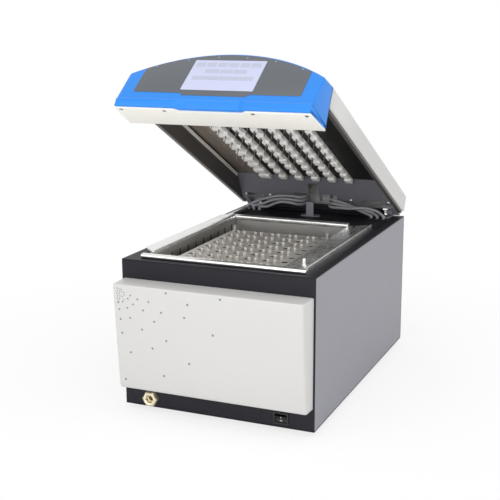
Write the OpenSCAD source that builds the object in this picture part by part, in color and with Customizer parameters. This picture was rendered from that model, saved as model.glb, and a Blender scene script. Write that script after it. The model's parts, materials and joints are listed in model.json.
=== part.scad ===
// Nitrogen sample evaporator: a heated water bath with a tube rack under a
// hinged lid that carries a 6 by 9 array of gas nozzles and a touch display.
// Millimetres, +Z up, front towards -Y, origin at the bottom centre.

/* [Cabinet] */
// outside width of the cabinet
body_w = 360; // [350:1:380]
// depth of the cabinet, front face to rear face
body_d = 555; // [545:1:575]
// height of the cabinet above its feet
body_h = 268; // [262:1:280]
// thickness of the folded sheet
sheet_t = 2; // [1.5:0.1:3]
// thickness of the side covers
side_t = 2; // [1.5:0.1:3]

/* [Feet] */
// foot height
foot_h = 9; // [6:1:16]
// foot diameter
foot_d = 30; // [22:1:36]
// distance of a foot's centre from the side faces
foot_inset_x = 34; // [28:1:60]
// distance of a foot's centre from the front and rear faces
foot_inset_y = 42; // [34:1:80]

/* [Front cover] */
// width of the cover at its back
cover_w = 354; // [320:1:356]
// width of the cover's face at its lower edge
cover_face_w = 347; // [310:1:350]
// height of the cover's underside above the cabinet bottom
cover_z0 = 40; // [36:1:60]
// height of the cover's top above the cabinet bottom
cover_z1 = 234; // [200:1:234]
// how far the top stands out from the cabinet
cover_top_d = 44.5; // [36:0.5:46]
// how far the lower face edge stands out
cover_low_d = 30; // [20:0.5:34]
// wall thickness of the cover
cover_t = 3; // [2:0.5:4]

/* [Front fittings] */
// x of the drain fitting
drain_x = -127.5; // [-140:0.5:-100]
// height of the drain fitting above the cabinet bottom
drain_z = 17; // [16:0.5:22]
// outside diameter of the drain fitting's collar
drain_d = 27; // [22:1:30]
// how far the collar stands out
drain_out = 18; // [12:1:24]
// across-flats size of the hexagon socket
drain_hex = 15; // [12:0.5:17]
// x of the power switch
switch_x = 120; // [100:0.5:140]
// height of the power switch above the cabinet bottom
switch_z = 17; // [16:0.5:22]
// width of the switch frame
switch_w = 28; // [24:0.5:32]
// height of the switch frame
switch_h = 21; // [19:0.5:24]

/* [Bath] */
// left inner wall of the bath
bath_x0 = -138; // [-140:1:-130]
// right inner wall of the bath
bath_x1 = 106; // [102:1:112]
// front inner wall of the bath
bath_y0 = 25; // [24:1:28]
// rear inner wall of the bath
bath_y1 = 396; // [380:1:400]
// height of the rim above the deck
rim_h = 8; // [6:0.5:9]
// width of the left flange
rim_left = 14; // [10:1:18]
// width of the right flange
rim_right = 47; // [40:1:48]
// width of the rear flange
rim_rear = 12; // [9:1:16]
// depth of the front rail
rail_d = 10; // [8:0.5:11]
// thickness of the bath sheet
bath_t = 1.5; // [1:0.1:2]
// depth of the bath below the deck
bath_depth = 185; // [160:1:200]

/* [Rack] */
// distance between columns of tube positions
pitch_x = 36; // [34:0.5:37]
// distance between rows of tube positions
pitch_y = 33.5; // [32:0.5:34]
// x of the middle of the rack
rack_x = -8; // [-12:0.5:-4]
// distance of the first row from the front inner wall
rack_first = 21; // [20:0.5:24]
// depth of the rack's top plate below the deck
rack_drop = 8; // [6:0.5:12]
// diameter of a tube hole
tube_hole_d = 13.5; // [10:0.1:16]
// diameter of a guide prong
prong_d = 7; // [5:0.5:7.5]
// height of a guide prong above the plate
prong_h = 14; // [8:0.5:15]
// distance between the two prongs of a pair
prong_gap = 12; // [11:0.5:13]
// clearance of a tube in its hole
tube_clear = 0.4; // [0.2:0.1:0.6]

/* [Lid] */
// angle of the open lid
lid_open = 27.8; // [20:0.1:28]
// height of the lid's sides above its lower edge plane
lid_side_h = 38; // [34:1:42]
// height of the lid's crown above its lower edge plane
lid_crown_h = 89.5; // [80:0.5:95]
// wall thickness of the lid's cover
lid_t = 3; // [2:0.5:4]
// depth of the nozzle plate inside the lid
ceiling_w = 38; // [37:0.5:40]
// height of a nozzle bar
bar_h = 14; // [12:0.5:15]
// width of a nozzle bar's block
block_w = 20; // [16:0.5:22]
// length of a nozzle bar's block
block_l = 17; // [14:0.5:20]

/* [Display bezel] */
// lean of the display face from the horizontal when the lid is closed
face_tilt = 62.4; // [60:0.1:65]
// width of the dark overlay
overlay_w = 300; // [280:1:310]
// width of the screen
screen_w = 130; // [120:1:140]
// height of the screen
screen_h = 79; // [70:1:80]
// distance of the screen's lower edge above the face's lower edge
screen_s0 = 18.7; // [17:0.1:22]
// width of the finger scoop
scoop_w = 122; // [100:1:130]
// depth of the finger scoop
scoop_d = 4; // [2:0.5:5]

/* [Hidden] */
$fn = 64;
eps = 0.01;
rows = 9;
cols = 6;
seat_clear = 0.3;
thread_clear = 0.15;

// lid axis and the lid's own frame: y = -(distance forward), z = height over its edge plane
hinge_y = body_d - 7;
hinge_z = body_h + 8;
hinge_v = 8;
lid_edge_w = -5;
cover_edge_w = 1;
lid_back_v = 0;
lid_front_v = 562;
lid_hw = body_w / 2;
arch_sag = lid_crown_h - lid_side_h;
arch_r = (lid_hw * lid_hw + arch_sag * arch_sag) / (2 * arch_sag);
corner_v = 18;
corner_w = 9;

// placing of the whole part: the origin is under the middle of its outline
exhaust_out = 18;
front_reach = cover_top_d;
rear_reach = max(body_d + exhaust_out, hinge_y + hinge_v * cos(lid_open) + lid_crown_h * sin(lid_open));
y_mid = (rear_reach - front_reach) / 2;

// rack and nozzle rows share their places
plate_z = body_h - rack_drop;
rack_y0 = bath_y0 + rack_first;
row_span = (rows - 1) * pitch_y;
col_span = (cols - 1) * pitch_x;
function row_y(i) = rack_y0 + i * pitch_y;
function col_x(i) = rack_x - col_span / 2 + i * pitch_x;
function row_v(i) = hinge_y + hinge_v - row_y(i);

// front drop of the tub's bottom, floor of the cabinet
tub_z0 = body_h - bath_depth;
rim_z = body_h + rim_h;

// nozzle bars
bar_w = 10;
beam_lift = 1;
rear_blocks = 4;
panel_top_v = 97;
panel_low_v = 50;
panel_low_w = 0;
bar_front_v = lid_front_v - 22;
bar_back_v = panel_top_v + 4;
nozzle_hub_r = 3.2;
nozzle_hub_h = 5;
nozzle_r = 1.2;
nozzle_tip_w = 5;
bar_low_w = ceiling_w - bar_h;

// display bezel: side outline in (distance forward, height)
bezel_low_w = -34.5;
face_v = 625;
face_w = -13.5;
strip_v = 631;
bezel_taper = 5.5;
bezel_hw_back = lid_hw;
bezel_hw_front = bezel_hw_back - bezel_taper;
bezel_cut_h = 200;
face_len = 130;
underplate_t = 3;
underplate_v0 = 561;
underplate_v1 = 628;
board_w = 170;
board_d = 40;
board_t = 1.6;
board_s0 = 4;
board_z = -9;
overlay_t = 0.8;
overlay_s0 = 10.5;
overlay_tab = 5;
overlay_top_s = 113;
overlay_r = 300;
led_r = 2.4;
leds = [[-133, 78.5], [-80, 97.5], [-26, 105.5], [26, 105.5], [80, 97.5], [133, 78.5]];

// ---- helpers ----

module box(x0, x1, y0, y1, z0, z1) {
    translate([x0, y0, z0]) cube([x1 - x0, y1 - y0, z1 - z0]);
}

// outline given in (y, z), drawn along x
module x_prism(x0, x1, outline) {
    translate([x0, 0, 0]) rotate([90, 0, 90]) linear_extrude(x1 - x0) polygon(outline);
}

module y_rod(x, z, y0, y1, r) {
    translate([x, y0, z]) rotate([-90, 0, 0]) cylinder(h = y1 - y0, r = r);
}

module x_rod(x0, x1, y, z, r) {
    translate([x0, y, z]) rotate([0, 90, 0]) cylinder(h = x1 - x0, r = r);
}

module in_place() {
    translate([0, -y_mid, foot_h]) children();
}

module in_lid() {
    in_place() translate([0, hinge_y, hinge_z]) rotate([-lid_open, 0, 0]) translate([0, hinge_v, 0]) children();
}

// box in the lid's frame: distances forward v0..v1
module lid_box(x0, x1, v0, v1, w0, w1) {
    box(x0, x1, -v1, -v0, w0, w1);
}

// on the display face: x across, y up the face, z out of it
module on_face() {
    translate([0, -face_v, face_w]) rotate([face_tilt, 0, 0]) children();
}

// section of the lid across x, between w0 and the crown, inset by t
module arch_section(hw, w0, t) {
    intersection() {
        translate([-hw + t, w0]) square([2 * (hw - t), lid_crown_h - w0 + 1]);
        translate([0, lid_crown_h - arch_r]) circle(r = arch_r - t, $fn = 256);
    }
}

module arch_prism(hw, v0, v1, w0, t) {
    translate([0, -v0, 0]) rotate([90, 0, 0]) linear_extrude(v1 - v0) arch_section(hw, w0, t);
}

// ---- cabinet ----

module chassis() {
    deck_z = body_h - sheet_t;
    color([0.19, 0.19, 0.21]) in_place() difference() {
        box(-body_w / 2, body_w / 2, 0, body_d, deck_z, body_h);
        box(bath_x0 - bath_t, bath_x1 + bath_t, bath_y0 - bath_t, bath_y1 + bath_t, deck_z - 1, body_h + 1);
        for (s = [-1, 1]) translate([s * grommet_x, grommet_y, deck_z - 1])
            cube_slot(grommet_hole_l + 2 * thread_clear, grommet_hole_r + thread_clear, sheet_t + 2);
    }
}

module front_panel() {
    color([0.19, 0.19, 0.21]) in_place() difference() {
        box(-body_w / 2, body_w / 2, 0, sheet_t, sheet_t, body_h - sheet_t);
        y_rod(drain_x, drain_z, -1, sheet_t + 1, drain_thread_r + thread_clear);
        box(switch_x - switch_cut_w / 2, switch_x + switch_cut_w / 2, -1, sheet_t + 1,
            switch_z - switch_cut_h / 2, switch_z + switch_cut_h / 2);
    }
}

// slot with round ends, long in x, centred
module cube_slot(l, r, h) {
    linear_extrude(h) union() {
        square([l - 2 * r, 2 * r], center = true);
        translate([-(l / 2 - r), 0]) circle(r = r);
        translate([l / 2 - r, 0]) circle(r = r);
    }
}

module side_covers() {
    color([0.62, 0.62, 0.64]) in_place() for (s = [-1, 1]) difference() {
        x_side = s > 0 ? body_w / 2 - side_t : -body_w / 2;
        box(x_side, x_side + side_t, sheet_t, body_d - sheet_t, sheet_t, body_h - sheet_t);
    }
}

module base_plate() {
    color([0.19, 0.19, 0.21]) in_place() difference() {
        box(-body_w / 2, body_w / 2, 0, body_d, 0, sheet_t);
        for (i = [0:7]) translate([-70 + i * 20, body_d * 0.42, -1]) rotate([0, 0, 90])
            cube_slot(90, 3, sheet_t + 2);
    }
}

module rear_panel() {
    color([0.19, 0.19, 0.21]) in_place() difference() {
        box(-body_w / 2, body_w / 2, body_d - sheet_t, body_d, sheet_t, body_h - sheet_t);
        box(inlet_x - inlet_cut_w / 2, inlet_x + inlet_cut_w / 2, body_d - sheet_t - 1, body_d + 1,
            inlet_z - inlet_cut_h / 2, inlet_z + inlet_cut_h / 2);
        y_rod(gas_x, gas_z, body_d - sheet_t - 1, body_d + 1, gas_thread_r + thread_clear);
        y_rod(exhaust_x, exhaust_z, body_d - sheet_t - 1, body_d + 1, exhaust_r + thread_clear);
        for (i = [0:8]) translate([-70, body_d + 1, 70 + i * 10]) rotate([90, 0, 0])
            cube_slot(110, 2, sheet_t + 2);
    }
}

module feet() {
    fx = body_w / 2 - foot_inset_x;
    color([0.06, 0.06, 0.07]) in_place() for (x = [-fx, fx]) for (y = [foot_inset_y, body_d - foot_inset_y])
        translate([x, y, -foot_h]) difference() {
            union() {
                cylinder(h = foot_h, r1 = foot_d / 2 - 2, r2 = foot_d / 2);
            }
            translate([0, 0, -1]) cylinder(h = 4, r = foot_d / 4);
        }
}

module front_cover() {
    chamfer = 7;
    low_z = cover_z0 + chamfer;
    color([0.86, 0.86, 0.85]) in_place() difference() {
        intersection() {
            x_prism(-cover_w / 2, cover_w / 2, [[0, cover_z0], [-cover_low_d + 3, cover_z0],
                [-cover_low_d, low_z], [-cover_top_d, cover_z1], [0, cover_z1]]);
            translate([0, 0, cover_z0 - 1]) linear_extrude(cover_z1 - cover_z0 + 2)
                polygon([[-cover_w / 2, 0], [cover_w / 2, 0], [cover_face_w / 2 + 1, -cover_top_d],
                    [-cover_face_w / 2 - 1, -cover_top_d]]);
        }
        x_prism(-cover_w / 2 + cover_t + 4, cover_w / 2 - cover_t - 4, [[1, cover_z0 + cover_t],
            [-cover_low_d + 3 + cover_t, cover_z0 + cover_t], [-cover_low_d + cover_t, low_z],
            [-cover_top_d + cover_t, cover_z1 - cover_t], [1, cover_z1 - cover_t]]);
    }
}

// ---- front fittings ----

drain_thread_r = 10;
drain_nut_t = 5;
drain_bore_r = 5;
drain_pipe_r = 6.5;
drain_pipe_bore_r = 5.5;
drain_hole_y = bath_y0 + 22;

module drain_fitting() {
    flange_t = 3;
    lip_r = drain_d / 2;
    color([0.80, 0.66, 0.33]) in_place() translate([drain_x, 0, drain_z]) rotate([90, 0, 0]) difference() {
        union() {
            cylinder(h = flange_t, r = lip_r);
            translate([0, 0, flange_t]) cylinder(h = drain_out - flange_t - 3, r = lip_r - 1.5);
            translate([0, 0, drain_out - 3]) cylinder(h = 3, r1 = lip_r - 1.5, r2 = lip_r - 3);
            translate([0, 0, -sheet_t - drain_nut_t - 6]) cylinder(h = sheet_t + drain_nut_t + 6, r = drain_thread_r);
        }
        translate([0, 0, 6]) cylinder(h = drain_out, r = drain_hex / 2 / cos(30), $fn = 6);
        translate([0, 0, -40]) cylinder(h = 60, r = drain_bore_r);
    }
}

// elbow pipe from the bottom of the bath to the back of the fitting
module drain_pipe() {
    inner_y = sheet_t + drain_nut_t + 6;
    top_z = tub_z0 - bath_t;
    color([0.70, 0.70, 0.71]) in_place() difference() {
        union() {
            translate([drain_x, drain_hole_y, drain_z]) cylinder(h = top_z - drain_z, r = drain_pipe_r);
            y_rod(drain_x, drain_z, inner_y, drain_hole_y, drain_pipe_r);
            translate([drain_x, drain_hole_y, drain_z]) sphere(r = drain_pipe_r);
        }
        translate([drain_x, drain_hole_y, drain_z]) cylinder(h = top_z, r = drain_pipe_bore_r);
        y_rod(drain_x, drain_z, 0, drain_hole_y, drain_pipe_bore_r);
    }
}

switch_cut_w = switch_w - 3;
switch_cut_h = switch_h - 3;
rocker_w = switch_w - 7;
rocker_h = switch_h - 6;
rocker_r = 11;
rocker_pivot_y = 8;
rocker_throw = 12;

module switch_frame() {
    frame_out = 1.8;
    color([0.05, 0.05, 0.06]) in_place() translate([switch_x, 0, switch_z]) difference() {
        union() {
            box(-switch_w / 2, switch_w / 2, -frame_out, 0, -switch_h / 2, switch_h / 2);
            box(-switch_cut_w / 2, switch_cut_w / 2, 0, 22, -switch_cut_h / 2, switch_cut_h / 2);
        }
        box(-rocker_w / 2 - seat_clear, rocker_w / 2 + seat_clear, -frame_out - 1, 20,
            -rocker_h / 2 - seat_clear, rocker_h / 2 + seat_clear);
        x_rod(-rocker_w / 2 - 1.5, rocker_w / 2 + 1.5, rocker_pivot_y, 0, 1.55);
    }
}

// the rocker lies tilted, pressed in at its lower edge
module switch_rocker() {
    half = rocker_w / 2;
    color([0.07, 0.07, 0.08]) in_place() translate([switch_x, rocker_pivot_y, switch_z])
        rotate([rocker_throw, 0, 0]) union() {
            intersection() {
                rotate([90, 0, 90]) translate([0, 0, -half]) linear_extrude(2 * half)
                    polygon([[-9, -rocker_h / 2 + 2], [-7.6, 0], [-9, rocker_h / 2 - 2], [2, 4], [2, -4]]);
                x_rod(-half, half, 0, 0, rocker_r);
            }
            x_rod(-half - 1.2, half + 1.2, 0, 0, 1.5);
        }
}

// ---- bath ----

module bath_tub() {
    color([0.66, 0.66, 0.66]) in_place() difference() {
        box(bath_x0 - bath_t, bath_x1 + bath_t, bath_y0 - bath_t, bath_y1 + bath_t, tub_z0 - bath_t, body_h);
        box(bath_x0, bath_x1, bath_y0, bath_y1, tub_z0, body_h + 1);
        translate([drain_x, drain_hole_y, tub_z0 - bath_t - 1]) cylinder(h = bath_t + 2, r = drain_bore_r);
    }
}

rail_y0 = bath_y0 - bath_t - rail_d;
left_front_y = bath_y0 + 13;
right_front_y = bath_y0 + 4;

module bath_rim() {
    rim_t = 1.5;
    x0 = bath_x0 - rim_left;
    x1 = bath_x1 + rim_right;
    rear_y1 = bath_y1 + rim_rear;
    round_r = rim_h / 2;
    color([0.80, 0.80, 0.80]) in_place() union() {
        // front rail with a half-round nose
        difference() {
            union() {
                box(x0 + 2, x1 + 4, rail_y0 + round_r, bath_y0, body_h, rim_z);
                x_rod(x0 + 2, x1 + 4, rail_y0 + round_r, body_h + round_r, round_r);
            }
            box(x0 + 3.5, x1 + 2.5, rail_y0 + round_r, bath_y0 - rim_t, body_h - 1, rim_z - rim_t);
        }
        // left flange: raised half-round box
        difference() {
            union() {
                box(x0 + round_r, bath_x0, left_front_y, rear_y1, body_h, rim_z);
                y_rod(x0 + round_r, body_h + round_r, left_front_y, rear_y1, round_r);
            }
            box(x0 + round_r, bath_x0 - rim_t, left_front_y + rim_t, rear_y1 - rim_t, body_h - 1, rim_z - rim_t);
        }
        // low upstand that joins the front rail and the left flange
        box(bath_x0 - rim_t, bath_x0, bath_y0 - rim_t, left_front_y, body_h, rim_z - rim_t);
        box(bath_x1, bath_x1 + rim_t, bath_y0 - rim_t, right_front_y, body_h, rim_z - rim_t);
        // right flange: broad flat shelf with turned-down edges
        difference() {
            box(bath_x1, x1, right_front_y, rear_y1, body_h, rim_z);
            box(bath_x1 + rim_t, x1 - rim_t, right_front_y + rim_t, rear_y1 - rim_t, body_h - 1, rim_z - rim_t);
        }
        // rear flange
        difference() {
            box(bath_x0, bath_x1, bath_y1, rear_y1, body_h, rim_z);
            box(bath_x0 - 1, bath_x1 + 1, bath_y1 + rim_t, rear_y1 - rim_t, body_h - 1, rim_z - rim_t);
        }
    }
}

module slot_plate() {
    plate_t = 1.5;
    slot_w = 4;
    slot_z0 = body_h - 35;
    slot_z1 = body_h - 13;
    first_y = rack_y0 + pitch_y * 2 - 9;
    color([0.40, 0.37, 0.36]) in_place() difference() {
        box(bath_x0, bath_x0 + plate_t, bath_y0 + 2, bath_y1 - 2, body_h - 60, body_h + 2);
        for (i = [-1:8]) box(bath_x0 - 1, bath_x0 + plate_t + 1, first_y + i * pitch_y,
            first_y + i * pitch_y + slot_w, slot_z0, slot_z1);
    }
}

module bath_heater() {
    r = 4;
    heater_gap = 5;
    bend = 16;
    hx0 = rack_x0 + post_inset + post_r + heater_gap + r;
    hx1 = rack_x1 - post_inset - post_r - heater_gap - r;
    hy0 = bath_y0 + 40;
    hy1 = bath_y1 - 40;
    hz = tub_z0 + 12;
    color([0.55, 0.52, 0.50]) in_place() union() {
        y_rod(hx0, hz, hy0, hy1 - bend, r);
        y_rod(hx1, hz, hy0, hy1 - bend, r);
        x_rod(hx0 + bend, hx1 - bend, hy1, hz, r);
        translate([hx0 + bend, hy1 - bend, hz]) rotate([0, 0, 90]) rotate_extrude(angle = 90)
            translate([bend, 0]) circle(r = r);
        translate([hx1 - bend, hy1 - bend, hz]) rotate_extrude(angle = 90) translate([bend, 0]) circle(r = r);
        for (x = [hx0, hx1]) {
            translate([x, hy0, hz]) sphere(r = r);
            translate([x, hy0, tub_z0]) cylinder(h = 12, r = r);
        }
    }
}

module rim_stud() {
    color([0.82, 0.82, 0.80]) in_place() translate([bath_x1 + 12, bath_y0 + 26, rim_z]) union() {
        cylinder(h = 2, r = 4);
        translate([0, 0, 2]) cylinder(h = 7, r = 2.5);
        translate([0, 0, 9]) sphere(r = 2.5);
    }
}

// ---- rack ----

rack_margin_x = 14;
rack_margin_y = 14;
rack_x0 = col_x(0) - rack_margin_x;
rack_x1 = col_x(cols - 1) + rack_margin_x;
rack_ya = rack_y0 - rack_margin_y;
rack_yb = rack_y0 + row_span + rack_margin_y;
rack_t = 1.5;
low_plate_z = body_h - 110;
post_r = 4;
post_inset = 6;

module hole_grid(r, z, h) {
    for (i = [0:cols - 1]) for (j = [0:rows - 1]) translate([col_x(i), row_y(j), z]) cylinder(h = h, r = r, $fn = 32);
}

module rack_plates() {
    lip = 10;
    color([0.64, 0.63, 0.62]) in_place() {
        // top plate with turned-down long edges
        difference() {
            union() {
                box(rack_x0, rack_x1, rack_ya, rack_yb, plate_z - rack_t, plate_z);
                box(rack_x0, rack_x0 + rack_t, rack_ya, rack_yb, plate_z - lip, plate_z);
                box(rack_x1 - rack_t, rack_x1, rack_ya, rack_yb, plate_z - lip, plate_z);
            }
            hole_grid(tube_hole_d / 2, plate_z - rack_t - 1, rack_t + 2);
            post_places(plate_z - lip - 1, lip + 2, post_r);
        }
    }
}

// low plate that the tubes stand on
module rack_shelf() {
    color([0.60, 0.59, 0.58]) in_place() difference() {
        box(rack_x0, rack_x1, rack_ya, rack_yb, low_plate_z - rack_t, low_plate_z);
        post_places(low_plate_z - rack_t - 1, rack_t + 2, post_r);
    }
}

module post_places(z, h, r) {
    for (x = [rack_x0 + post_inset, rack_x1 - post_inset]) for (y = [rack_ya + post_inset, rack_yb - post_inset])
        translate([x, y, z]) cylinder(h = h, r = r, $fn = 32);
}

module rack_posts() {
    foot_z = tub_z0;
    color([0.70, 0.70, 0.70]) in_place() {
        post_places(foot_z, plate_z + 12 - foot_z, post_r);
    }
}

module prong(x, y) {
    r = prong_d / 2;
    translate([x, y, plate_z]) union() {
        cylinder(h = prong_h - r, r = r, $fn = 24);
        translate([0, 0, prong_h - r]) sphere(r = r, $fn = 24);
    }
}

module rack_prongs() {
    color([0.74, 0.73, 0.72]) in_place() for (j = [0:rows - 2]) for (i = [0:cols - 2]) for (s = [-1, 1])
        prong(col_x(i) + pitch_x / 2 + s * prong_gap / 2, row_y(j) + pitch_y / 2);
}

// ---- hinge and hoses on the deck ----

knuckle_r = 6;
pin_r = 2.5;
bracket_t = 12;
arm_inset = 21;
arm_gap = 1;
arm_x0 = lid_hw - arm_inset;
bracket_x1 = arm_x0 - arm_gap;
bracket_x0 = bracket_x1 - bracket_t;
arm_x1 = lid_hw - lid_t - 5;

module hinge_brackets() {
    color([0.45, 0.45, 0.46]) in_place() for (s = [-1, 1]) {
        x0 = s > 0 ? bracket_x0 : -bracket_x1;
        x1 = s > 0 ? bracket_x1 : -bracket_x0;
        difference() {
            union() {
                box(x0, x1, hinge_y - 34, hinge_y + 6, body_h, body_h + 3);
                box(x0, x1, hinge_y - knuckle_r, hinge_y + knuckle_r, body_h + 2, hinge_z);
                x_rod(x0, x1, hinge_y, hinge_z, knuckle_r);
            }
            x_rod(x0 - 1, x1 + 1, hinge_y, hinge_z, pin_r);
        }
    }
}

module hinge_pins() {
    color([0.78, 0.78, 0.78]) in_place() for (s = [-1, 1]) union() {
        x_rod(s > 0 ? bracket_x0 - 2 : -arm_x1, s > 0 ? arm_x1 : -bracket_x0 + 2, hinge_y, hinge_z, pin_r);
        x_rod(s > 0 ? bracket_x0 - 4 : -bracket_x0 + 2, s > 0 ? bracket_x0 - 2 : -bracket_x0 + 4,
            hinge_y, hinge_z, pin_r + 1.5);
    }
}

// angle that closes the gap between the deck and the lid's back edge
module rear_rail() {
    rail_gap = 6;
    rail_hw = bracket_x0 - rail_gap;
    rail_top = hinge_z + 3.5;
    color([0.19, 0.19, 0.21]) in_place() union() {
        box(-rail_hw, rail_hw, hinge_y - 14, hinge_y, body_h, body_h + sheet_t);
        box(-rail_hw, rail_hw, hinge_y - sheet_t, hinge_y, body_h + sheet_t - eps, rail_top);
    }
}

stand_y = 478;
stand_h = 30;

module hose_stand() {
    color([0.52, 0.52, 0.55]) in_place() union() {
        translate([-3, stand_y + 6, body_h]) cube_slot(42, 9, 2);
        box(-11, 5, stand_y, stand_y + 2.5, body_h, body_h + stand_h);
        box(-11, 5, stand_y, stand_y + 9, body_h + stand_h - 2.5, body_h + stand_h);
    }
}

grommet_x = 138;
grommet_y = 498;
grommet_hole_l = 40;
grommet_hole_r = 7;

module hose_grommets() {
    color([0.05, 0.05, 0.05]) in_place() for (s = [-1, 1]) translate([s * grommet_x, grommet_y, 0]) difference() {
        union() {
            translate([0, 0, body_h]) cube_slot(grommet_hole_l + 6, grommet_hole_r + 3, 2);
            translate([0, 0, body_h - sheet_t - 2]) cube_slot(grommet_hole_l, grommet_hole_r, sheet_t + 2);
        }
        for (k = [0:2]) translate([(k - 1) * hose_step, 0, body_h - sheet_t - 3])
            cylinder(h = sheet_t + 6, r = hose_r + 0.3, $fn = 24);
    }
}

hose_r = 3;
hose_step = 13;
hose_sides = 8;
hose_steps = 5;

// hand-picked points of the hoses' middle lines, in the cabinet's frame
left_routes = [for (k = [0:2]) [
    [-grommet_x + (k - 1) * hose_step, grommet_y, 262],
    [-grommet_x + (k - 1) * hose_step, grommet_y, 270.5],
    [-grommet_x + (k - 1) * hose_step, grommet_y, 279 - k * 2.5],
    [-127 + k * 12, 499 - k * 4, 290 - k * 5],
    [-104 + k * 9, 499 - k * 5, 298 - k * 5],
    [-80 + k * 6, 498 - k * 6, 303 - k * 5],
    [-56 + k * 3, 498 - k * 6, 304.5 - k * 6],
    [-34, 500 - k * 4, 303 - k * 7],
    [-24, 509 - k * 2, 304 - k * 7.5],
    [-22, 526, 309 - k * 8]]];
right_routes = [for (k = [0:2]) [
    [grommet_x + (k - 1) * hose_step, grommet_y, 262],
    [grommet_x + (k - 1) * hose_step, grommet_y, 270],
    [grommet_x + (k - 1) * hose_step, grommet_y, 274.5],
    [125 + (k - 1) * 12, 499 - k * 4, 279 + k * 4],
    [104 + (k - 1) * 9, 498 - k * 6, 286 + k * 3],
    [82 + (k - 1) * 4, 497 - k * 7.5, 294 - k * 2],
    [60 + (k - 1) * 2, 498 - k * 6, 299 - k * 5],
    [42, 500 - k * 4, 302 - k * 7],
    [32, 509 - k * 2, 303 - k * 7.5],
    [30, 526, 308 - k * 8]]];

// rounded curve through the points
function spline_pt(p, i, t) =
    let (a = p[max(i - 1, 0)], b = p[i], c = p[i + 1], d = p[min(i + 2, len(p) - 1)])
    0.5 * (2 * b + (c - a) * t + (2 * a - 5 * b + 4 * c - d) * t * t + (3 * b - a - 3 * c + d) * t * t * t);
function smooth_route(p) = concat([for (i = [0:len(p) - 2]) for (j = [0:hose_steps - 1])
    spline_pt(p, i, j / hose_steps)], [p[len(p) - 1]]);
function unit(v) = v / norm(v);
function ring(c, dir) =
    let (side = unit(cross(dir, [0, 1, 0.15])), up = cross(side, dir))
    [for (k = [0:hose_sides - 1]) c + hose_r * (cos(k * 360 / hose_sides) * side + sin(k * 360 / hose_sides) * up)];

module hose(route) {
    p = smooth_route(route);
    n = len(p);
    rings = [for (i = [0:n - 1]) for (q = ring(p[i], unit(p[min(i + 1, n - 1)] - p[max(i - 1, 0)]))) q];
    s = hose_sides;
    faces = concat([[for (k = [0:s - 1]) k]],
        [for (i = [0:n - 2]) for (k = [0:s - 1]) [i * s + k, (i + 1) * s + k, (i + 1) * s + (k + 1) % s]],
        [for (i = [0:n - 2]) for (k = [0:s - 1]) [i * s + k, (i + 1) * s + (k + 1) % s, i * s + (k + 1) % s]],
        [[for (k = [s - 1:-1:0]) (n - 1) * s + k]]);
    polyhedron(points = rings, faces = faces, convexity = 6);
}

module hoses_left() {
    color([0.80, 0.80, 0.78, 0.7]) in_place() for (r = left_routes) hose(r);
}

module hoses_right() {
    color([0.80, 0.80, 0.78, 0.7]) in_place() for (r = right_routes) hose(r);
}

// ---- rear fittings and inside ----

inlet_x = 110;
inlet_z = 60;
inlet_cut_w = 28;
inlet_cut_h = 20.5;
gas_x = 110;
gas_z = 120;
gas_thread_r = 6.5;
exhaust_x = 110;
exhaust_z = 200;
exhaust_r = 25;

module power_inlet() {
    color([0.05, 0.05, 0.06]) in_place() translate([inlet_x, body_d, inlet_z]) difference() {
        union() {
            box(-25, 25, 0, 3, -14, 14);
            box(-inlet_cut_w / 2, inlet_cut_w / 2, -22, 0, -inlet_cut_h / 2, inlet_cut_h / 2);
        }
        translate([0, 4, 0]) rotate([90, 0, 0]) linear_extrude(20) polygon([[-12, -8], [12, -8], [12, 4],
            [8, 8], [-8, 8], [-12, 4]]);
        for (x = [-20, 20]) y_rod(x, 0, -1, 4, 1.6);
    }
}

module inlet_pins() {
    pin_y0 = body_d - 16 - eps;
    color([0.80, 0.80, 0.78]) in_place() {
        for (x = [-7, 7]) box(inlet_x + x - 1, inlet_x + x + 1, pin_y0, body_d - 1, inlet_z - 4, inlet_z);
        box(inlet_x - 1, inlet_x + 1, pin_y0, body_d - 1, inlet_z + 1, inlet_z + 5);
    }
}

module gas_inlet() {
    color([0.80, 0.66, 0.33]) in_place() translate([gas_x, body_d, gas_z]) rotate([-90, 0, 0]) difference() {
        union() {
            translate([0, 0, -12]) cylinder(h = 12, r = gas_thread_r);
            cylinder(h = 5, r = 9, $fn = 6);
            translate([0, 0, 5]) cylinder(h = 5, r = 5);
            translate([0, 0, 10]) cylinder(h = 2.5, r1 = 5, r2 = 4);
            translate([0, 0, 12.5]) cylinder(h = 3.5, r1 = 5, r2 = 4);
        }
        translate([0, 0, -13]) cylinder(h = 31, r = 2.5);
    }
}

module exhaust_port() {
    wall = 2;
    color([0.19, 0.19, 0.21]) in_place() translate([exhaust_x, body_d, exhaust_z]) rotate([-90, 0, 0]) difference() {
        union() {
            cylinder(h = 2.5, r = exhaust_r + 9);
            translate([0, 0, -8]) cylinder(h = exhaust_out + 8, r = exhaust_r);
        }
        translate([0, 0, -9]) cylinder(h = exhaust_out + 10, r = exhaust_r - wall);
    }
}

module power_supply() {
    color([0.60, 0.60, 0.60]) in_place() difference() {
        box(-150, -50, 430, 530, sheet_t, 46);
        for (i = [0:5]) box(-140 + i * 15, -132 + i * 15, 445, 515, 44, 47);
    }
}

module gas_valve() {
    color([0.30, 0.30, 0.32]) in_place() union() {
        box(60, 150, 440, 500, sheet_t, 30);
        for (i = [0:2]) translate([75 + i * 30, 470, 30]) cylinder(h = 34, r = 11);
    }
}

// ---- lid ----

module lid_cover() {
    color([0.91, 0.91, 0.92]) in_lid() difference() {
        arch_prism(lid_hw, lid_back_v, lid_front_v, cover_edge_w, 0);
        arch_prism(lid_hw, lid_back_v + lid_t, lid_front_v + 1, cover_edge_w - 1, lid_t);
        // lower back corner cut away over the deck's rear edge
        x_prism(-lid_hw - 1, lid_hw + 1, [[1, corner_w], [-corner_v, -1], [1, -1]]);
    }
}

liner_t = 5;
liner_x = lid_hw - lid_t;

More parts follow.
